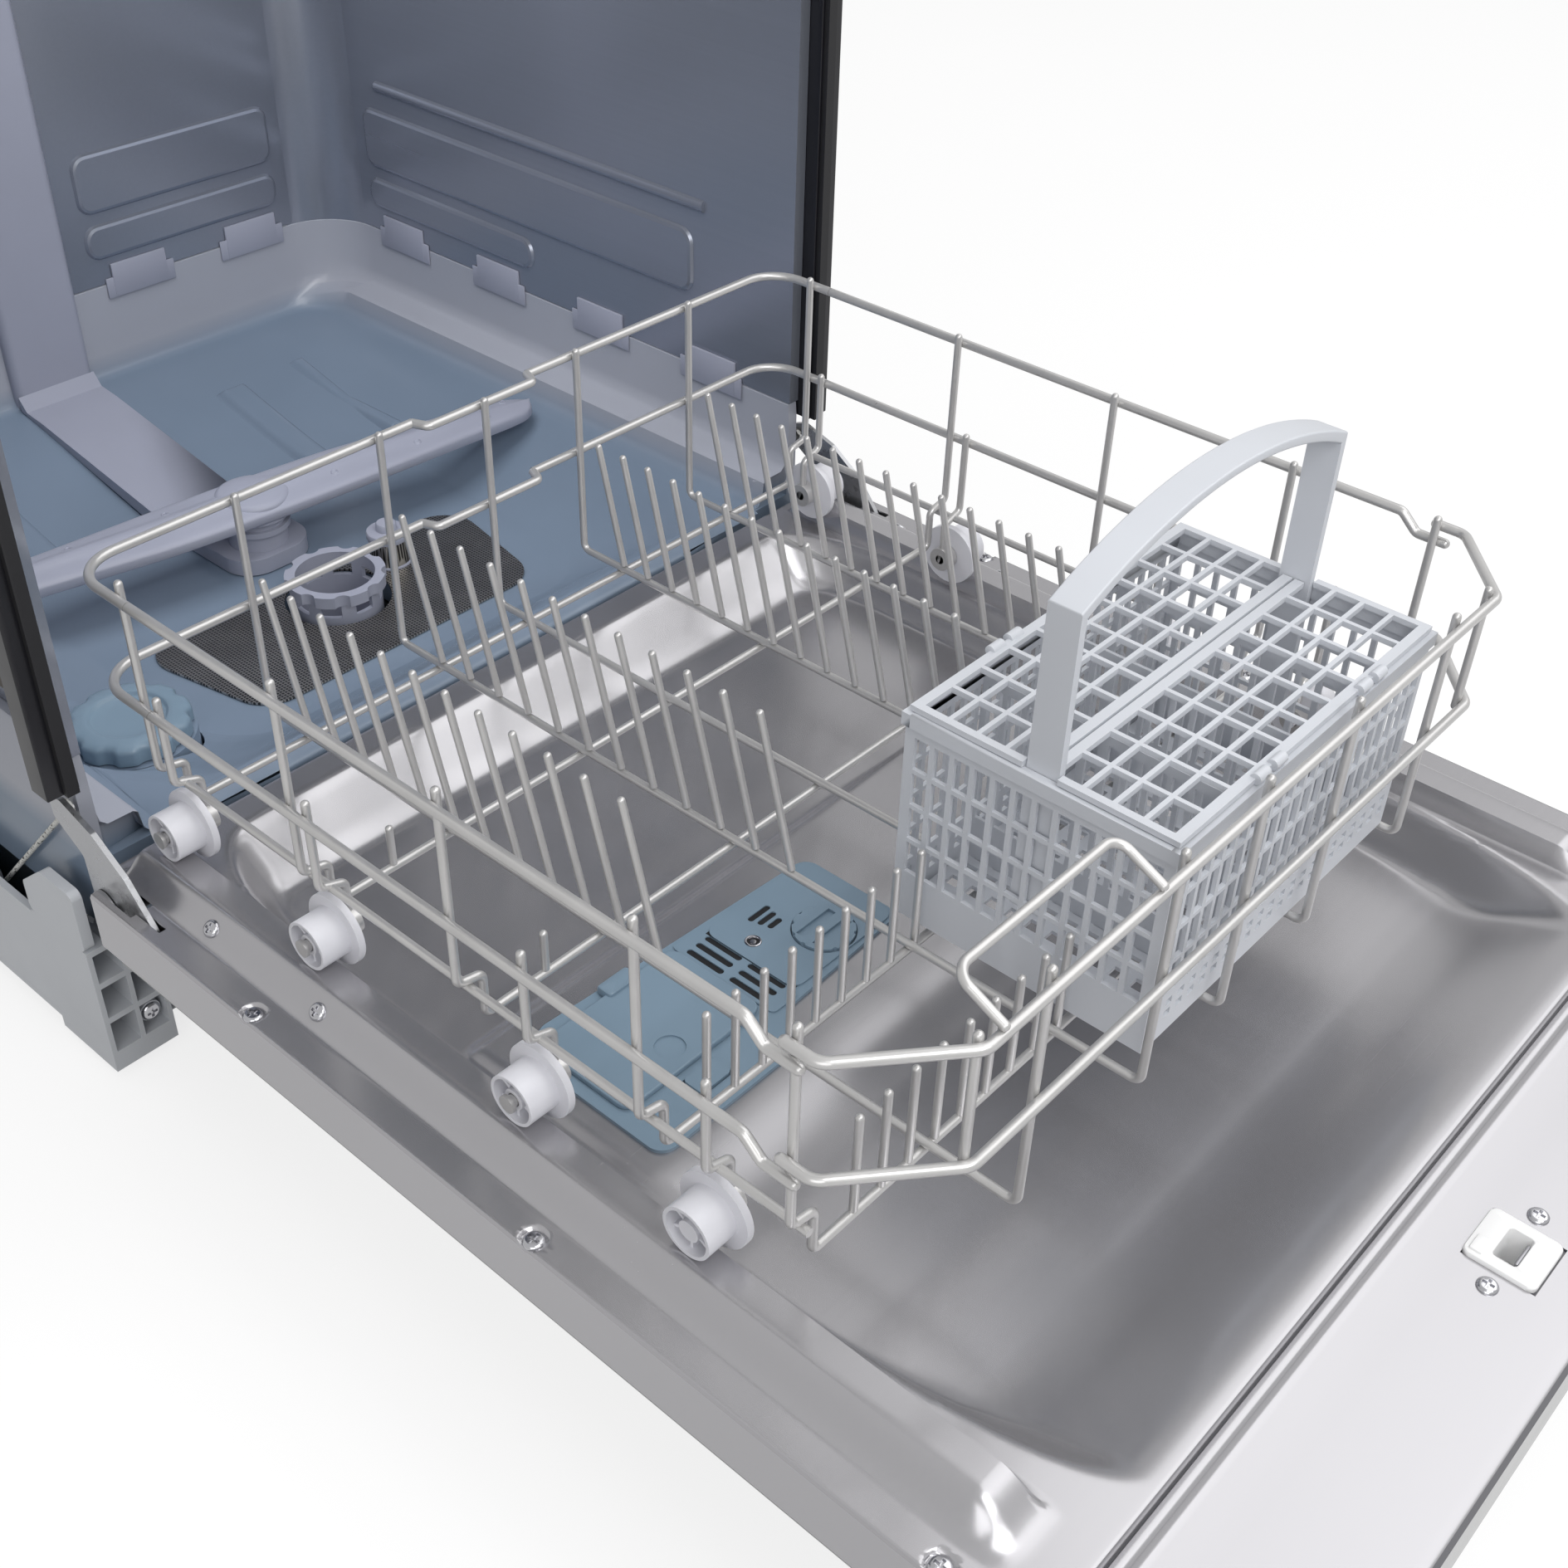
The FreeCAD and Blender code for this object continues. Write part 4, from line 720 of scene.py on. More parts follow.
# plan of the basin's rim, and how far its sides, front and rear run in on the way down
basin_half = 234.0
basin_front = 26.0
basin_rear = 494.0
fall_side = 84.0
fall_front = 52.0
fall_rear = 164.0
# the sill between the hinge arms, and the ends of the walls beside it
sill_half = 236.1
sill_front = 5.0
jamb_front = 11.0
sump_spot = (0.0, 169.0)
salt_spot = (-188.0, 118.0)
salt_well = 39.2
salt_step = 131.0
salt_foot = 108.0


def round_ring(half, front, rear, front_bend, rear_bend, fronts, sides=10, bend_steps=7):
    """Points round a plan outline, each with the share it belongs to the side, the rear and the front."""
    at_side, at_rear, at_front = (1.0, 0.0, 0.0), (0.0, 1.0, 0.0), (0.0, 0.0, 1.0)
    reach = half - front_bend
    low = front + front_bend
    high = rear - rear_bend

    def bend(x, y, radius, quarter, steps, start, end):
        """A corner round a centre, from one quarter turn to the next."""
        for k in steps:
            share = k / bend_steps
            turn = pi / 2 * (quarter + share)
            mix = [a + (b - a) * share for a, b in zip(start, end)]
            yield (x + radius * cos(turn), y + radius * sin(turn), *mix)

    ring = [(half, low + (high - low) * k / sides, *at_side) for k in range(sides)]
    ring += bend(half - rear_bend, high, rear_bend, 0, range(bend_steps), at_side, at_rear)
    ring += [((half - rear_bend) * (1 - k / sides), rear, *at_rear) for k in range(2 * sides)]
    ring += bend(rear_bend - half, high, rear_bend, 1, range(bend_steps), at_rear, at_side)
    ring += [(-half, high - (high - low) * k / sides, *at_side) for k in range(sides + 1)]
    ring += bend(-reach, low, front_bend, 2, range(1, bend_steps + 1), at_side, at_front)
    ring += [(share * reach, front, *at_front) for share in fronts]
    ring += bend(reach, low, front_bend, 3, range(bend_steps + 1), at_front, at_side)
    return ring


class DISHWASHER_OT_tub_floor(bpy.types.Operator):
    """Moulded tub floor: dished basin, wheel ledges, low walls with clips, front sill, salt well"""
    bl_idname = "dishwasher.tub_floor"
    bl_label = "Tub floor"

    # inward step and height of each line round the tub, at its sides, its rear and its front
    side_line = ((-8, 96), (-8, 213.6), (-6.8, 215), (-1.4, 215), (0, 213.8), (0.3, 178), (1.6, 169.5),
                 (5.5, 165.7), (20.5, 165.4), (23.2, 163.4), (24.6, 152), (28.5, 147.2), (36, 146.2))
    rear_line = ((-8, 96), (-8, 213.6), (-6.8, 215), (-1.4, 215), (0, 213.8), (0.3, 186), (0.6, 172),
                 (1.0, 161), (1.8, 153.5), (3.2, 149.6), (5.2, 147.4), (7.4, 146.5), (9, 146.2))
    front_line = ((0, 96), (0, 143), (0.2, 144.4), (0.8, 145.6), (2, 146.6), (6, 148), (10.5, 149),
                  (12.8, 149), (14, 148.2), (14.8, 147), (15.6, 146.4), (18, 146.2), (21, 146.2))
    # shares of half the front where a line crosses it, close together at the ends of the sill
    across = (-1.0, -0.8755, -0.874, -0.6, -0.2, 0.2, 0.6, 0.874, 0.8755, 1.0)
    slopes = (0.04, 0.1, 0.3, 0.5, 0.7, 0.88, 0.96, 1.0)
    # radius and height
    sump_line = ((58.0, basin_low - 0.1), (37.0, basin_low - 0.2), (36.0, basin_low - 1.2), (36.0, 98.0))
    # stiffening ribs in the basin: nearer and farther side, front and rear end, height
    ribs = ((93.0, 123.0, 320.0, 438.0, 5.2), (163.0, 181.0, 314.0, 442.0, 5.0))
    rib_dip = 0.9
    # a clip's plate and its tab: where each starts and ends, its top and half its thickness
    clip_layers = ((-6.0, 52.0, 219.0, 0.7), (0.0, 46.0, 229.0, 1.0))
    clip_foot = 203.0
    clip_inset = 1.1
    side_clips = (60.0, 170.0, 280.0, 390.0)
    rear_clips = (-212.0, -112.0, 66.0, 166.0)

    @staticmethod
    def basin(share):
        """Height of the basin at a share of the way down its slope."""
        return basin_top - (basin_top - basin_low) * (ease(share) * 0.35 + share * 0.65)

    @staticmethod
    def from_salt(spot):
        return hypot(spot.x - salt_spot[0], spot.y - salt_spot[1])

    def rib(self, side, near, far, front, rear, high):
        """A low ridge that follows the fall of the basin and dips under it at its edges."""
        def height(x, y):
            share = min((basin_rear - y) / fall_rear, (basin_half - abs(x)) / fall_side, 1.0)
            inside = min(abs(x) - near, far - abs(x), y - front, rear - y)
            return self.basin(share) - self.rib_dip + (high + self.rib_dip) * ease(inside / 7.5)

        xs = [side * (near + (far - near) * k / 16) for k in range(17)]
        ys = lines([(front, front + 8, 7), (front + 12, rear - 12, 10), (rear - 8, rear, 7)])
        return pressed(xs, ys, height)

    def rings(self):
        """Outline by outline from the outer foot of the walls down to the sump."""
        made = []
        walls = zip(self.side_line, self.rear_line, self.front_line)
        for (side, side_z), (rear, rear_z), (front, front_z) in walls:
            bend = tub_bend - (side * 0.3 + rear * 0.7)
            jamb_z = min(side_z, front_z, basin_top)
            ring = []
            wide = round_ring(tub_half - side, wall_front, tub_rear - rear, 0.001, bend, self.across)
            for x, y, at_side, at_rear, at_front in wide:
                z = side_z * at_side + rear_z * at_rear
                on_sill = abs(x) < sill_half and at_front == 1.0
                if at_front:
                    z += at_front * (front_z if on_sill else jamb_z)
                    y = sill_front + front if on_sill else jamb_front + max(front - 6.0, 0.0)
                ring.append((x, y, z))
            made.append(ring)
        for share in self.slopes:
            bend = 60.0 - 14.0 * share
            outline = round_ring(basin_half - fall_side * share, basin_front + fall_front * share,
                                 basin_rear - fall_rear * share, bend, bend, self.across)
            made.append([(x, y, self.basin(share)) for x, y, *_ in outline])
        inner = made[-1]
        for radius, z in self.sump_line:
            ring = []
            for x, y, _ in inner:
                turn = atan2(y - sump_spot[1], x - sump_spot[0])
                ring.append((sump_spot[0] + radius * cos(turn), sump_spot[1] + radius * sin(turn), z))
            made.append(ring)
        return made

    def open_salt_well(self, shape):
        """Steps the floor down round the salt well and opens the well in it."""
        near = [f for f in shape.faces if self.from_salt(f.calc_center_median()) < 62
                and f.calc_center_median().z < floor_zone]
        edges = list({e for f in near for e in f.edges})
        bmesh.ops.subdivide_edges(shape, edges=edges, cuts=7, use_grid_fill=True)
        sx, sy = salt_spot
        for v in shape.verts:
            away = self.from_salt(v.co)
            if v.co.z < floor_zone:
                sunk = min(v.co.z, salt_step) - v.co.z
                v.co.z += sunk * ease((54.0 - away) / 13.0) * ease((v.co.x + 238.0) / 9.0)
            if v.co.z <= floor_zone and salt_well - 2.4 < away <= salt_well + 2.6:
                v.co.x = sx + (v.co.x - sx) * salt_well / away
                v.co.y = sy + (v.co.y - sy) * salt_well / away
        inside = [f for f in shape.faces if f.calc_center_median().z < floor_zone
                  and all(self.from_salt(v.co) < salt_well + 0.05 for v in f.verts)]
        bmesh.ops.delete(shape, geom=inside, context="FACES")
        lip = [e for e in shape.edges if e.is_boundary
               and all(abs(self.from_salt(v.co) - salt_well) < 0.1 for v in e.verts)]
        drawn_to(shape, lip, salt_foot)

    def clips(self):
        """Plates with tabs that hold the steel walls, spaced along the moulding's top."""
        shapes = []
        side_wall = tub_half - self.clip_inset
        spots = [(0, side * side_wall, y) for side in (-1, 1) for y in self.side_clips]
        spots += [(1, tub_rear - self.clip_inset, x) for x in self.rear_clips]
        for through, wall, start in spots:
            for first, last, top, thick in self.clip_layers:
                low = [start + first, start + first, self.clip_foot + thick]
                high = [start + last, start + last, top]
                low[through] = wall - thick
                high[through] = wall + thick
                shapes.append(block(low, high, 0.5))
        return joined(shapes)

    def execute(self, context):
        shape = lofted(self.rings())
        face_up(shape)
        self.open_salt_well(shape)
        bmesh.ops.recalc_face_normals(shape, faces=shape.faces)
        face_up(shape)
        wall = context.scene.machine_sizes.moulding
        piece("tub_floor", shape, "tub_plastic", "cabinet", ["tub_base"], 45.0, wall, False)
        piece("tub_clips", self.clips(), "grey_plastic", "cabinet")
        ribs = [self.rib(side, *spot) for side in (-1, 1) for spot in self.ribs]
        piece("tub_floor_ribs", joined(ribs), "tub_plastic", "cabinet", (), 45.0, 0.4 * millimetre)
        return {"FINISHED"}


class DISHWASHER_OT_tub_walls(bpy.types.Operator):
    """Pressed fields in the tub's steel walls and the rounded corners between them"""
    bl_idname = "dishwasher.tub_walls"
    bl_label = "Tub walls"

    proud = 2.6
    foot = 214.3
    ceiling = 789.0
    # start, end, foot and top of each field
    side_fields = ((262.0, 450.0, 234.0, 258.0), (100.0, 450.0, 266.0, 312.0))
    rear_fields = ((50.0, 218.0, 234.0, 260.0), (50.0, 218.0, 268.0, 312.0))

    def field(self, left, right, low, high):
        """A low field with rounded corners, lying face up."""
        x, y, half_x, half_y = (left + right) / 2, (low + high) / 2, (right - left) / 2, (high - low) / 2
        steps = ((0.0, -0.3), (0.0, 0.2), (1.4, 0.7 * self.proud), (3.4, self.proud))
        return stacked([(x, y, half_x - inset, half_y - inset, 11.0 - inset, up) for inset, up in steps])

    def corner(self, side):
        """A rounded upright corner, a little behind the moulding's own."""
        bend = tub_bend + 0.3
        heights = (self.foot, self.ceiling)
        arc = [(bend * cos(radians(turn)), bend * sin(radians(turn))) for turn in range(0, 91, 5)]
        if side > 0:
            arc.reverse()

        def place(k, j):
            across, back = arc[k]
            return (side * (tub_half - tub_bend + across), tub_rear - tub_bend + back, heights[j])

        return moulded(len(arc) - 1, 1, place)

    def execute(self, context):
        fields = []
        for side in (-1, 1):
            for spot in self.side_fields:
                fields.append(self.field(*spot))
                for v in fields[-1].verts:
                    v.co = (side * (tub_half - v.co.z), v.co.x, v.co.y)
            for spot in self.rear_fields:
                fields.append(self.field(*spot))
                for v in fields[-1].verts:
                    v.co = (side * v.co.x, tub_rear - v.co.z, v.co.y)
        whole = joined(fields)
        bmesh.ops.recalc_face_normals(whole, faces=whole.faces)
        piece("tub_wall_fields", whole, "tub_steel", "cabinet", (), 12.0)
        corners = joined([self.corner(side) for side in (-1, 1)])
        piece("tub_corners", corners, "tub_steel", "cabinet", (), 30.0, context.scene.machine_sizes.sheet)
        return {"FINISHED"}


# Top of the door

class DISHWASHER_OT_door_top(bpy.types.Operator):
    """Steel strip on the door's top end and the white catch in it"""
    bl_idname = "dishwasher.door_top"
    bl_label = "Door top and catch"

    # out and up of each line across the strip
    profile = ((588.5, 2.0), (588.6, 4.4), (589.2, 5.3), (590.4, 5.7), (592.4, 5.7), (593.8, 5.2),
               (594.8, 3.8), (596.0, 2.0), (597.6, 1.2), (600.0, 1.0), (619.0, 1.0), (653.5, 1.0),
               (672.0, 1.0), (675.5, 0.8), (677.6, 0.2), (678.8, -1.2), (679.4, -3.5), (679.5, -9.0))
    strip_half = 295.5
    mouth_half = 16.5
    mouth_outs = (619.0, 653.5)
    catch_out = 635.6
    # half width, half depth, corner and height of each ring of the catch, up its outside and down its mouth
    catch_rings = ((11.4, 6.4, 2.4, -18.0), (11.4, 6.4, 2.4, -2.6), (16.3, 17.0, 4.0, -2.6),
                   (16.3, 17.0, 4.0, 2.4), (15.9, 16.6, 3.8, 3.1), (15.2, 15.9, 3.4, 3.4),
                   (10.4, 6.2, 2.2, 3.4), (9.9, 5.8, 2.0, 3.1), (9.7, 5.6, 2.0, 2.2), (9.6, 5.4, 1.6, -17.4))

    def in_mouth(self, spot):
        return abs(spot.x) < self.mouth_half and self.mouth_outs[0] < hinge_y - spot.y < self.mouth_outs[1]

    def execute(self, context):
        ends = [side * half for side in (-1, 1) for half in (self.strip_half, self.mouth_half)]
        xs = lines([(-self.strip_half, self.strip_half, 24)], ends)
        shape = moulded(len(xs) - 1, len(self.profile) - 1, lambda i, j: on_door(xs[i], *self.profile[j]))
        shape.normal_update()
        face_up(shape)
        mouth = [f for f in shape.faces if self.in_mouth(f.calc_center_median())]
        bmesh.ops.delete(shape, geom=mouth, context="FACES")
        piece("door_top_strip", shape, "door_steel", "door", (), 35.0, 0.6 * millimetre)

        x, y, z = on_door(0, self.catch_out, 0)
        catch = stacked([(x, y, *plan, z + up) for *plan, up in self.catch_rings])
        bridge = block(on_door(-14.0, 627.0, 2.0), on_door(-4.0, 621.0, 4.6), 0.8)
        hook = block(on_door(-7.0, 641.2, -6.0), on_door(7.0, 639.2, 2.0), 0.8)
        piece("door_catch", joined([catch, bridge]), "latch_plastic", "door", ["door_latch"], 30.0)
        piece("door_catch_hook", hook, "spring_steel", "door")
        return {"FINISHED"}


# Spray arm and filter

class DISHWASHER_OT_spray_arm(bpy.types.Operator):
    """Crowned spray arm with jets along its top"""
    bl_idname = "dishwasher.spray_arm"
    bl_label = "Spray arm"

    hub_y = 254.0
    low = 150.0
    half = 228.0
    tip = 212.0
    turn = -6.7
    # reach along the arm, and place of its edge there
    far_edge = ((-228, 12), (-214, 16.5), (-150, 19), (-70, 24), (0, 27), (70, 27), (150, 20), (214, 14.5),
                (228, 8))
    near_edge = ((-228, -8), (-214, -14.5), (-150, -20), (-70, -27), (0, -27), (70, -24), (150, -19),
                 (214, -15.5), (228, -10))
    # share of the way to the edge, and height, from the middle of the underside round to the top
    section = ((0.0, 0.0), (0.86, 0.0), (0.96, 0.5), (1.0, 1.8), (1.0, 6.2), (0.985, 7.4), (0.94, 8.6),
               (0.86, 9.5), (0.7, 10.2), (0.45, 10.8), (0.24, 11.2), (0.12, 11.6), (0.0, 11.8))
    # radius and height
    hub_line = ((0, -2.6), (24.4, -2.6), (25, -2), (25, 9.6), (24, 11.6), (21, 13), (15, 13.6), (12, 14.4),
                (0, 14.5))
    jet_line = ((1.3, -0.6), (1.3, 1.0), (1.9, 1.5), (2.7, 1.2), (3.3, 0.2), (3.6, -1.0))
    jets = (58, 92, 126, 158, 186, 208)

    @staticmethod
    def read(edge, t):
        for (t0, v0), (t1, v1) in zip(edge, edge[1:]):
            if t <= t1:
                return v0 + (v1 - v0) * (t - t0) / (t1 - t0)
        return edge[-1][1]

    def outline(self, t):
        """Middle and half width of the blade at a reach, with smoothed edges and round tips."""
        near_by = [min(max(t + step, -self.half), self.half) for step in (-14, -7, 0, 7, 14)]
        far = sum(self.read(self.far_edge, k) for k in near_by) / 5
        near = sum(self.read(self.near_edge, k) for k in near_by) / 5
        past_tip = max(abs(t) - self.tip, 0.0) / (self.half - self.tip)
        return (far + near) / 2, (far - near) / 2 * sqrt(max(1 - past_tip * past_tip, 0.0))

    def top(self, t, share):
        """How much the top stands over its section: a ridge along the middle, a fall toward the tips."""
        ridge = 2.2 * ease((178 - abs(t)) / 30) * ease((0.34 - abs(share)) / 0.2)
        return ridge - 2.0 * ease((abs(t) - 190) / 38)

    def execute(self, context):
        end = self.half - 0.1
        reaches = lines([(-self.tip, self.tip, 36), (-end, -self.tip, 8), (self.tip, end, 8)],
                        (-self.half, self.half))
        loop = list(self.section) + [(-share, height) for share, height in reversed(self.section[1:-1])]

        def place(i, j):
            middle, half = self.outline(reaches[j])
            share, height = loop[i % len(loop)]
            lift = self.top(reaches[j], share) if height > 6 else 0.0
            return (reaches[j], middle + share * half, height + lift)

        shapes = [moulded(len(loop), len(reaches) - 1, place, True)]
        shapes.append(turned(self.hub_line, (0, 0, 0), steps=40))
        for k, reach in enumerate(self.jets):
            aside = (11 if k % 2 else -11) * (1 - reach / 460)
            for sign in (-1, 1):
                height = 10.2 + self.top(sign * reach, 0.7)
                shapes.append(turned(self.jet_line, (sign * reach, sign * aside, height), steps=16))
        shape = joined(shapes)
        swing = Matrix.Translation((0, self.hub_y, self.low)) @ Matrix.Rotation(radians(self.turn), 4, "Z")
        bmesh.ops.transform(shape, matrix=swing, verts=shape.verts)
        piece("spray_blade", shape, "grey_plastic", "spray_arm", ["spray_arm"], 40.0)
        return {"FINISHED"}


class DISHWASHER_OT_fine_filter(bpy.types.Operator):
    """Small mesh post with a knob on the filter plate, and the scalloped salt cap"""
    bl_idname = "dishwasher.fine_filter"
    bl_label = "Fine filter and salt cap"

    # radius and height from the foot of the cap's side to the middle of its top
    cap_line = ((0.0, 130.8), (34.0, 130.8), (36.0, 131.6), (36.0, 139.0), (35.4, 140.8), (34.0, 142.2),
                (31.0, 143.2), (26.0, 143.8), (23.4, 143.8), (22.4, 143.2), (21.8, 142.0), (20.6, 141.4),
                (12.0, 141.2), (0.0, 141.2))
    cap_steps = 120
    cap_scallops = 10
    # radius and height of the post's gauze, its foot ring and its knob
    gauze_line = ((14.6, -0.6), (14.2, 1.0), (13.0, 16.0), (12.4, 19.0))
    foot_line = ((15.4, -0.4), (15.4, 1.2), (14.6, 1.6), (14.2, 1.6))
    knob_line = ((12.2, 17.8), (13.8, 18.0), (14.0, 18.6), (14.0, 22.6), (13.4, 23.4), (8.2, 23.8),
                 (7.4, 24.4), (7.0, 28.4), (6.2, 29.4), (0, 29.8))
    post_spot = (54.0, 182.0, 115.6)

    def salt_cap(self, k, j):
        turn = 2 * pi * k / self.cap_steps
        radius, height = self.cap_line[j]
        radius *= 1 - 0.075 * ease((radius - 26) / 9) * ease((cos(self.cap_scallops * turn) + 0.2) / 1.2)
        return (salt_spot[0] + radius * cos(turn), salt_spot[1] + radius * sin(turn), height)

    def execute(self, context):
        cap = moulded(self.cap_steps, len(self.cap_line) - 1, self.salt_cap, True)
        piece("salt_knob", cap, "blue_grey_plastic", "salt_cap", ["salt_cap"], 45.0)
        gauze, foot, knob = [turned(line, self.post_spot, steps=40)
                             for line in (self.gauze_line, self.foot_line, self.knob_line)]
        piece("fine_filter_gauze", gauze, "mesh_steel", "cabinet", (), 40.0)
        piece("fine_filter_knob", joined([foot, knob]), "grey_plastic", "cabinet", (), 40.0)
        return {"FINISHED"}


# Detergent dispenser

class DISHWASHER_OT_dispenser_panel(bpy.types.Operator):
    """Slotted panels over the dispenser, its level lens and the pull on its lid"""
    bl_idname = "dishwasher.dispenser_panel"
    bl_label = "Dispenser panel"

    top = -9.0
    lens = (-72.0, 254.0)
    dial = (-40.0, 275.0)
    pull = (-143.0, 226.6)

    @staticmethod
    def around(x0, x1, out0, out1, bend):
        return rounded((x0 + x1) / 2, hinge_y - (out0 + out1) / 2, (x1 - x0) / 2, (out1 - out0) / 2, bend)

    @staticmethod
    def circle(spot, radius, steps):
        return rounded(spot[0], hinge_y - spot[1], radius, radius, radius, steps)

    def execute(self, context):
        up = hinge_z + self.top
        slots = [self.around(x, x + 3.8, out, out + 25.0, 1.9)
                 for x in (-102.0, -95.2, -88.4) for out in (234.0, 264.0)]
        left = pierced(self.around(-104.2, -84.7, 226.0, 297.0, 3.5), slots, up)
        short = [self.around(-62.0 + step, -46.0 - step, out, out + 3.6, 1.8)
                 for step, out in ((0.0, 240.0), (1.5, 245.6), (3.0, 251.2))]
        lens = self.circle(self.lens, 4.6, 8)
        dial = self.circle(self.dial, 17.7, 12)
        right = pierced(self.around(-83.9, -4.6, 230.0, 293.4, 7.0), short + [lens, dial], up)
        panels = joined([left, right])
        piece("dispenser_panels", panels, "blue_grey_plastic", "door", (), 30.0, 0.9 * millimetre)
        # a black sheet just under the panels: painted shade seen through the slots
        under = pierced(self.around(-103.6, -6.0, 231.5, 292.4, 4.0), [dial], up - 0.75)
        piece("dispenser_gaps", under, "black_rubber", "door", (), 30.0, 0.1 * millimetre)
        spot = on_door(*self.lens, self.top)
        rings = [turned(((4.4, -0.8), (4.4, 0.3), (4.0, 0.5), (3.4, 0.4), (3.1, -0.2), (3.0, -0.8)), spot),
                 turned(((1.9, -0.8), (1.7, -0.3), (0, -0.15)), spot, steps=16)]
        piece("level_lens", joined(rings), "screw_steel", "door", (), 30.0)
        x, y, z = on_door(*self.pull, self.top)
        pull = stacked(((x, y, 10.4, 5.4, 2.2, z - 0.4), (x, y, 10.4, 5.4, 2.2, z + 2.2),
                        (x, y - 0.3, 10.0, 4.9, 2.0, z + 3.4), (x, y - 0.6, 9.0, 4.0, 1.8, z + 4.0)))
        piece("lid_pull", pull, "blue_grey_plastic", "detergent_lid", (), 30.0)
        return {"FINISHED"}


# Rounded ends of the rack's wires

class DISHWASHER_OT_wire_ends(bpy.types.Operator):
    """Domes on the cut ends of the rack's wires"""
    bl_idname = "dishwasher.wire_ends"
    bl_label = "Wire ends"

    def execute(self, context):
        # x, y, z and radius of each cut end
        ends = [(-196.0, -501.0, 319.5, 2.2), (-92.0, -501.0, 319.5, 2.2)]
        for side in (-1, 1):
            ends += [(side * 247.35, y, 258.5, 2.2) for y in (-35.0, -152.0, -297.0, -403.0)]
            ends += [(side * 205.0, -496.35, z, 2.2) for z in (249.5, 318.0)]
            ends += [(side * 252.0, -453.0, z, 2.6) for z in (243.5, 306.0)]
            ends += [(side * 252.0, -446.0, z, 2.6) for z in (252.5, 315.0)]
        domes = []
        for x, y, z, radius in ends:
            ball = bmesh.new()
            spot = Matrix.Translation((x, y, z))
            bmesh.ops.create_icosphere(ball, subdivisions=3, radius=radius, matrix=spot)
            domes.append(ball)
        piece("rack_wire_ends", joined(domes), "coated_wire", "lower_rack", (), 60.0)
        return {"FINISHED"}


# Screws

class DISHWASHER_OT_screws(bpy.types.Operator):
    """Cross-head screws on the door, the columns and the frame"""
    bl_idname = "dishwasher.screws"
    bl_label = "Screws"

    def execute(self, context):
        sizes = context.scene.machine_sizes
        radius = sizes.screw / millimetre
        seat = flange_up - sizes.dimple / millimetre + 0.05
        on_top = (0, 0, 1)
        in_front = (0, -1, 0)
        heads = [pan_screw(on_door(x, out, seat), on_top, radius) for x, out in flange_screws]
        for side in (-1, 1):
            for out in (72.0, 157.0):
                spot = on_door(side * 272.0, out, 18.9)
                heads.append(pan_screw(spot, (side * 0.69, 0, 0.72), 0.9 * radius))
            heads.append(pan_screw(on_door(side * 25.5, 636.0, 1.2), on_top, 0.95 * radius))
        piece("door_screw_heads", joined(heads), "screw_steel", "door", ["door_screws"], 40.0)
        fixed = [pan_screw((side * 267.0, 11.6, 31.0), in_front, 1.1 * radius) for side in (-1, 1)]
        fixed += [pan_screw((288.0, 0.8, z), in_front, 0.7 * radius) for z in (226.0, 330.0)]
        piece("frame_screw_heads", joined(fixed), "screw_steel", "cabinet", (), 40.0)
        return {"FINISHED"}


# Felt and ropes

class DISHWASHER_OT_felt(bpy.types.Operator):
    """Needled felt round the tub"""
    bl_idname = "dishwasher.felt"
    bl_label = "Felt"

    # name, corners, and which way each pad is thin
    pads = (("felt_left", (-289.6, 20, 251), (-277.4, 479, 739), 0),
            ("felt_right", (277.4, 20, 251), (289.6, 479, 739), 0),
            ("felt_top", (-249, 61, 791.6), (249, 479, 807.6), 2))

    def execute(self, context):
        for name, low, high, thin in self.pads:
            shape = block(low, high, 3.0, 3)
            long_edges = [e for e in shape.edges if e.calc_length() > 60]
            bmesh.ops.subdivide_edges(shape, edges=long_edges, cuts=9, use_grid_fill=True)
            middle = (low[thin] + high[thin]) / 2
            for v in shape.verts:
                a, b = [v.co[k] for k in range(3) if k != thin]
                sag = 1 - 0.1 * (sin(a / 47) * sin(b / 39) + 1)
                v.co[thin] = middle + (v.co[thin] - middle) * sag
            piece(name, shape, "felt", "cabinet", ["insulation"], 60.0)
        return {"FINISHED"}


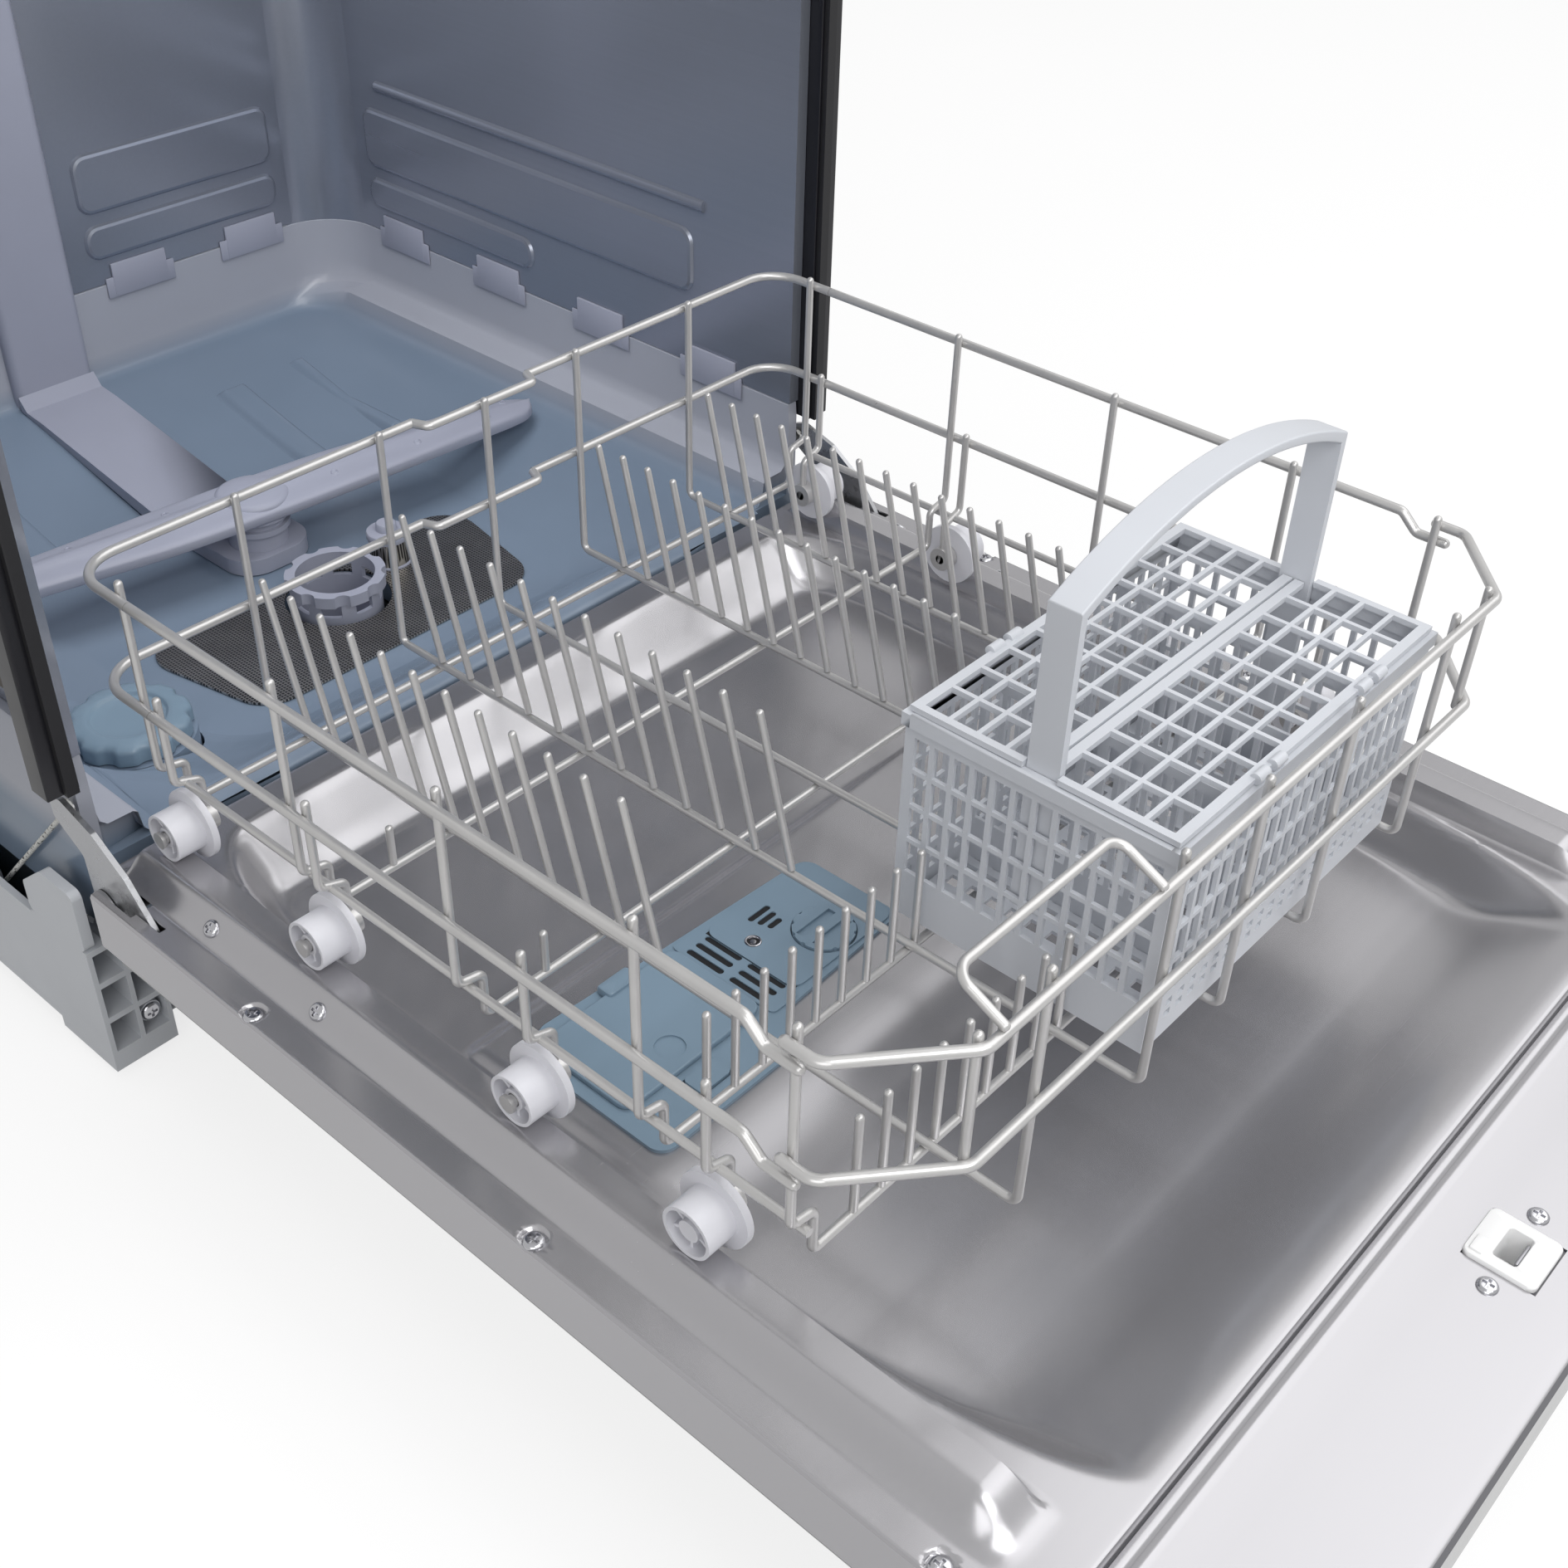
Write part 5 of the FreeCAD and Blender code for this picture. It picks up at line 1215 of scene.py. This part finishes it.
class DISHWASHER_OT_ropes(bpy.types.Operator):
    """Laid ropes that balance the door, from the hinge hook under a pulley to the spring"""
    bl_idname = "dishwasher.ropes"
    bl_label = "Balance ropes"

    # y and z from the hinge hook to the spring
    route = ((17.2, 181.7), (126.0, 67.8), (143.5, 48.8), (168.0, 50.0), (196.0, 50.0))
    rope_x = 282.0
    sides = 18
    steps = 220
    lay_length = 0.011
    eye_spot = (14.0, 185.0)
    eye_radius = 4.5
    eye_wire = 1.5

    def centreline(self, x):
        """Points read off a smooth curve through the route."""
        curve = bpy.data.curves.new("route", "CURVE")
        curve.dimensions = "3D"
        spline = curve.splines.new("NURBS")
        spline.points.add(len(self.route) - 1)
        for point, (y, z) in zip(spline.points, self.route):
            point.co = (x * millimetre, (y + front_shift) * millimetre, z * millimetre, 1.0)
        spline.order_u = 3
        spline.use_endpoint_u = True
        spline.resolution_u = 24
        held = bpy.data.objects.new("route", curve)
        bpy.context.scene.collection.objects.link(held)
        bpy.context.view_layer.update()
        mesh = bpy.data.meshes.new_from_object(held.evaluated_get(bpy.context.evaluated_depsgraph_get()))
        points = [v.co.copy() for v in mesh.vertices]
        bpy.data.objects.remove(held)
        bpy.data.curves.remove(curve)
        bpy.data.meshes.remove(mesh)
        return points

    def execute(self, context):
        sizes = context.scene.machine_sizes
        strands = sizes.strands
        for name, side in (("rope_left", -1), ("rope_right", 1)):
            points = self.centreline(side * self.rope_x)
            run = [0.0]
            for a, b in zip(points, points[1:]):
                run.append(run[-1] + (b - a).length)
            spots = []
            for k in range(self.steps + 1):
                goal = run[-1] * k / self.steps
                i = max(n for n in range(len(run) - 1) if run[n] <= goal + 1e-9)
                share = (goal - run[i]) / max(run[i + 1] - run[i], 1e-9)
                spots.append((points[i].lerp(points[i + 1], share), (points[i + 1] - points[i]).normalized()))
            sideways = Vector((1, 0, 0))

            def place(k, j):
                spot, ahead = spots[j]
                turn = 2 * pi * k / self.sides
                lay = turn - 2 * pi * j * run[-1] / self.steps / self.lay_length
                bulge = 0.76 + 0.24 * abs(cos(lay * strands / 2)) if 0 < j < self.steps else 0.3
                reach = sizes.rope / 2 * bulge
                across = ahead.cross(sideways).normalized()
                spot = spot + reach * (sideways * cos(turn) + across * sin(turn))
                return spot / millimetre - Vector((0, front_shift, 0))

            shape = moulded(self.sides, self.steps, place, True)
            bmesh.ops.holes_fill(shape, edges=[e for e in shape.edges if e.is_boundary], sides=0)
            bmesh.ops.recalc_face_normals(shape, faces=shape.faces)
            made = piece(name, shape, "rope", "cabinet", ["balance_ropes"], 50.0)
            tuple(points[0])
        turns = [2 * pi * k / 12 for k in range(13)]
        ring = [(self.eye_radius + self.eye_wire * cos(turn), self.eye_wire * sin(turn)) for turn in turns]
        eyes = [turned(ring, (side * self.rope_x, *self.eye_spot), (1, 0, 0)) for side in (-1, 1)]
        piece("rope_eyes", joined(eyes), "rope", "cabinet", (), 50.0)
        return {"FINISHED"}


# Stage

class DISHWASHER_OT_stage(bpy.types.Operator):
    """Pale floor, soft light and the camera"""
    bl_idname = "dishwasher.stage"
    bl_label = "Stage"

    def execute(self, context):
        scene = context.scene
        scene.view_settings.view_transform = "Standard"
        self.floor(scene)
        self.world(scene)
        self.lamps(scene)
        self.camera(scene)
        return {"FINISHED"}

    @staticmethod
    def seen(nodes, mirrored):
        """1 for what the camera or a glass looks at, a set share for a mirror, 0 for light on the object."""
        path = nodes.node("ShaderNodeLightPath")
        camera, mirror, glass = [Signal(nodes, path.outputs["Is " + ray + " Ray"])
                                 for ray in ("Camera", "Glossy", "Transmission")]
        return nodes.math("MAXIMUM", camera, nodes.math("MAXIMUM", mirror * mirrored, glass))

    def floor(self, scene):
        shape = bmesh.new()
        bmesh.ops.create_grid(shape, x_segments=2, y_segments=2, size=9.0)
        mesh = bpy.data.meshes.new("floor")
        shape.to_mesh(mesh)
        shape.free()
        made = bpy.data.objects.new("floor", mesh)
        scene.collection.objects.link(made)
        f = Finish("floor_paper")
        grey = f.between(f.noise(1.5, 3.0), (0.25, 0.25, 0.25, 1), (0.27, 0.27, 0.27, 1))
        paper = f.node("ShaderNodeBsdfDiffuse", None, {"Color": grey})
        strength = self.seen(f, 0.7) * 0.77
        glow = f.node("ShaderNodeEmission", None, {"Color": (1, 1, 1, 1), "Strength": strength})
        both = f.node("ShaderNodeAddShader", None, {0: paper.outputs[0], 1: glow.outputs[0]})
        f.tree.links.new(both.outputs[0], f.tree.nodes["Material Output"].inputs["Surface"])
        mesh.materials.append(f.material)

    def world(self, scene):
        world = bpy.data.worlds.new("studio")
        scene.world = world
        world.use_nodes = True
        sky = Nodes(world.node_tree)
        back = sky.tree.nodes["Background"]
        back.inputs["Color"].default_value = (1.0, 1.0, 1.0, 1.0)
        sky.feed(back.inputs["Strength"], self.seen(sky, 0.3) * 0.46 + 0.54)

    def lamps(self, scene):
        for name, place, aim, wide, power in (
                ("key", (1.5, -0.9, 2.3), (0.0, 0.1, 0.2), 2.5, 26.0),
                ("fill", (-2.0, -1.5, 1.3), (0.0, 0.0, 0.25), 1.6, 15.0),
                ("mouth", (-0.25, -1.15, 1.35), (0.0, 0.4, 0.25), 0.8, 9.0),
                ("tub", (0.0, 0.33, 0.745), (0.0, 0.30, 0.1), 0.38, 2.3)):
            lamp = bpy.data.lights.new(name, "AREA")
            lamp.shape = "SQUARE"
            lamp.size = wide
            lamp.energy = power
            made = bpy.data.objects.new(name, lamp)
            made.visible_camera = False
            made.visible_glossy = name != "tub"
            made.location = place
            made.rotation_euler = (Vector(aim) - Vector(place)).to_track_quat("-Z", "Y").to_euler()
            scene.collection.objects.link(made)

    def camera(self, scene):
        data = bpy.data.cameras.new("camera")
        data.lens = 43.57
        data.sensor_width = 36.0
        data.clip_start = 0.02
        data.clip_end = 60.0
        made = bpy.data.objects.new("camera", data)
        scene.collection.objects.link(made)
        round_, high, roll = radians(-49.4148), radians(37.9433), radians(1.7715)
        back = Vector((sin(round_) * cos(high), -cos(round_) * cos(high), sin(high)))
        right = Vector((cos(round_), sin(round_), 0.0))
        up = back.cross(right)
        right, up = cos(roll) * right + sin(roll) * up, cos(roll) * up - sin(roll) * right
        turn = Matrix((right, up, back)).transposed().to_4x4()
        made.matrix_world = Matrix.Translation((-0.6147, -0.6647, 0.8011)) @ turn
        scene.camera = made


# Add-on

operators = (
    DISHWASHER_OT_stage,
    DISHWASHER_OT_frame,
    DISHWASHER_OT_ropes,
    DISHWASHER_OT_door_skin,
    DISHWASHER_OT_tub_floor,
    DISHWASHER_OT_tub_walls,
    DISHWASHER_OT_spray_arm,
    DISHWASHER_OT_fine_filter,
    DISHWASHER_OT_door_top,
    DISHWASHER_OT_dispenser_panel,
    DISHWASHER_OT_wire_ends,
    DISHWASHER_OT_screws,
    DISHWASHER_OT_felt,
)


class DISHWASHER_PT_pieces(bpy.types.Panel):
    """Lists the pieces in the order they are made"""
    bl_idname = "DISHWASHER_PT_pieces"
    bl_label = "Dishwasher"
    bl_space_type = "VIEW_3D"
    bl_region_type = "UI"
    bl_category = "Dishwasher"

    def draw(self, context):
        for operator in operators:
            self.layout.operator(operator.bl_idname)
        for group in (context.scene.machine_sizes, context.scene.finish_colours):
            for name in group.__annotations__:
                self.layout.prop(group, name)


classes = (FinishColours, MachineSizes) + operators + (DISHWASHER_PT_pieces,)


def register():
    for cls in classes:
        bpy.utils.register_class(cls)
    bpy.types.Scene.finish_colours = PointerProperty(type=FinishColours)
    bpy.types.Scene.machine_sizes = PointerProperty(type=MachineSizes)


def unregister():
    del bpy.types.Scene.machine_sizes
    del bpy.types.Scene.finish_colours
    for cls in reversed(classes):
        bpy.utils.unregister_class(cls)


def main():
    register()
    for operator in operators:
        family, name = operator.bl_idname.split(".")
        getattr(getattr(bpy.ops, family), name)()
    bpy.context.view_layer.update()


if __name__ == "__main__":
    main()
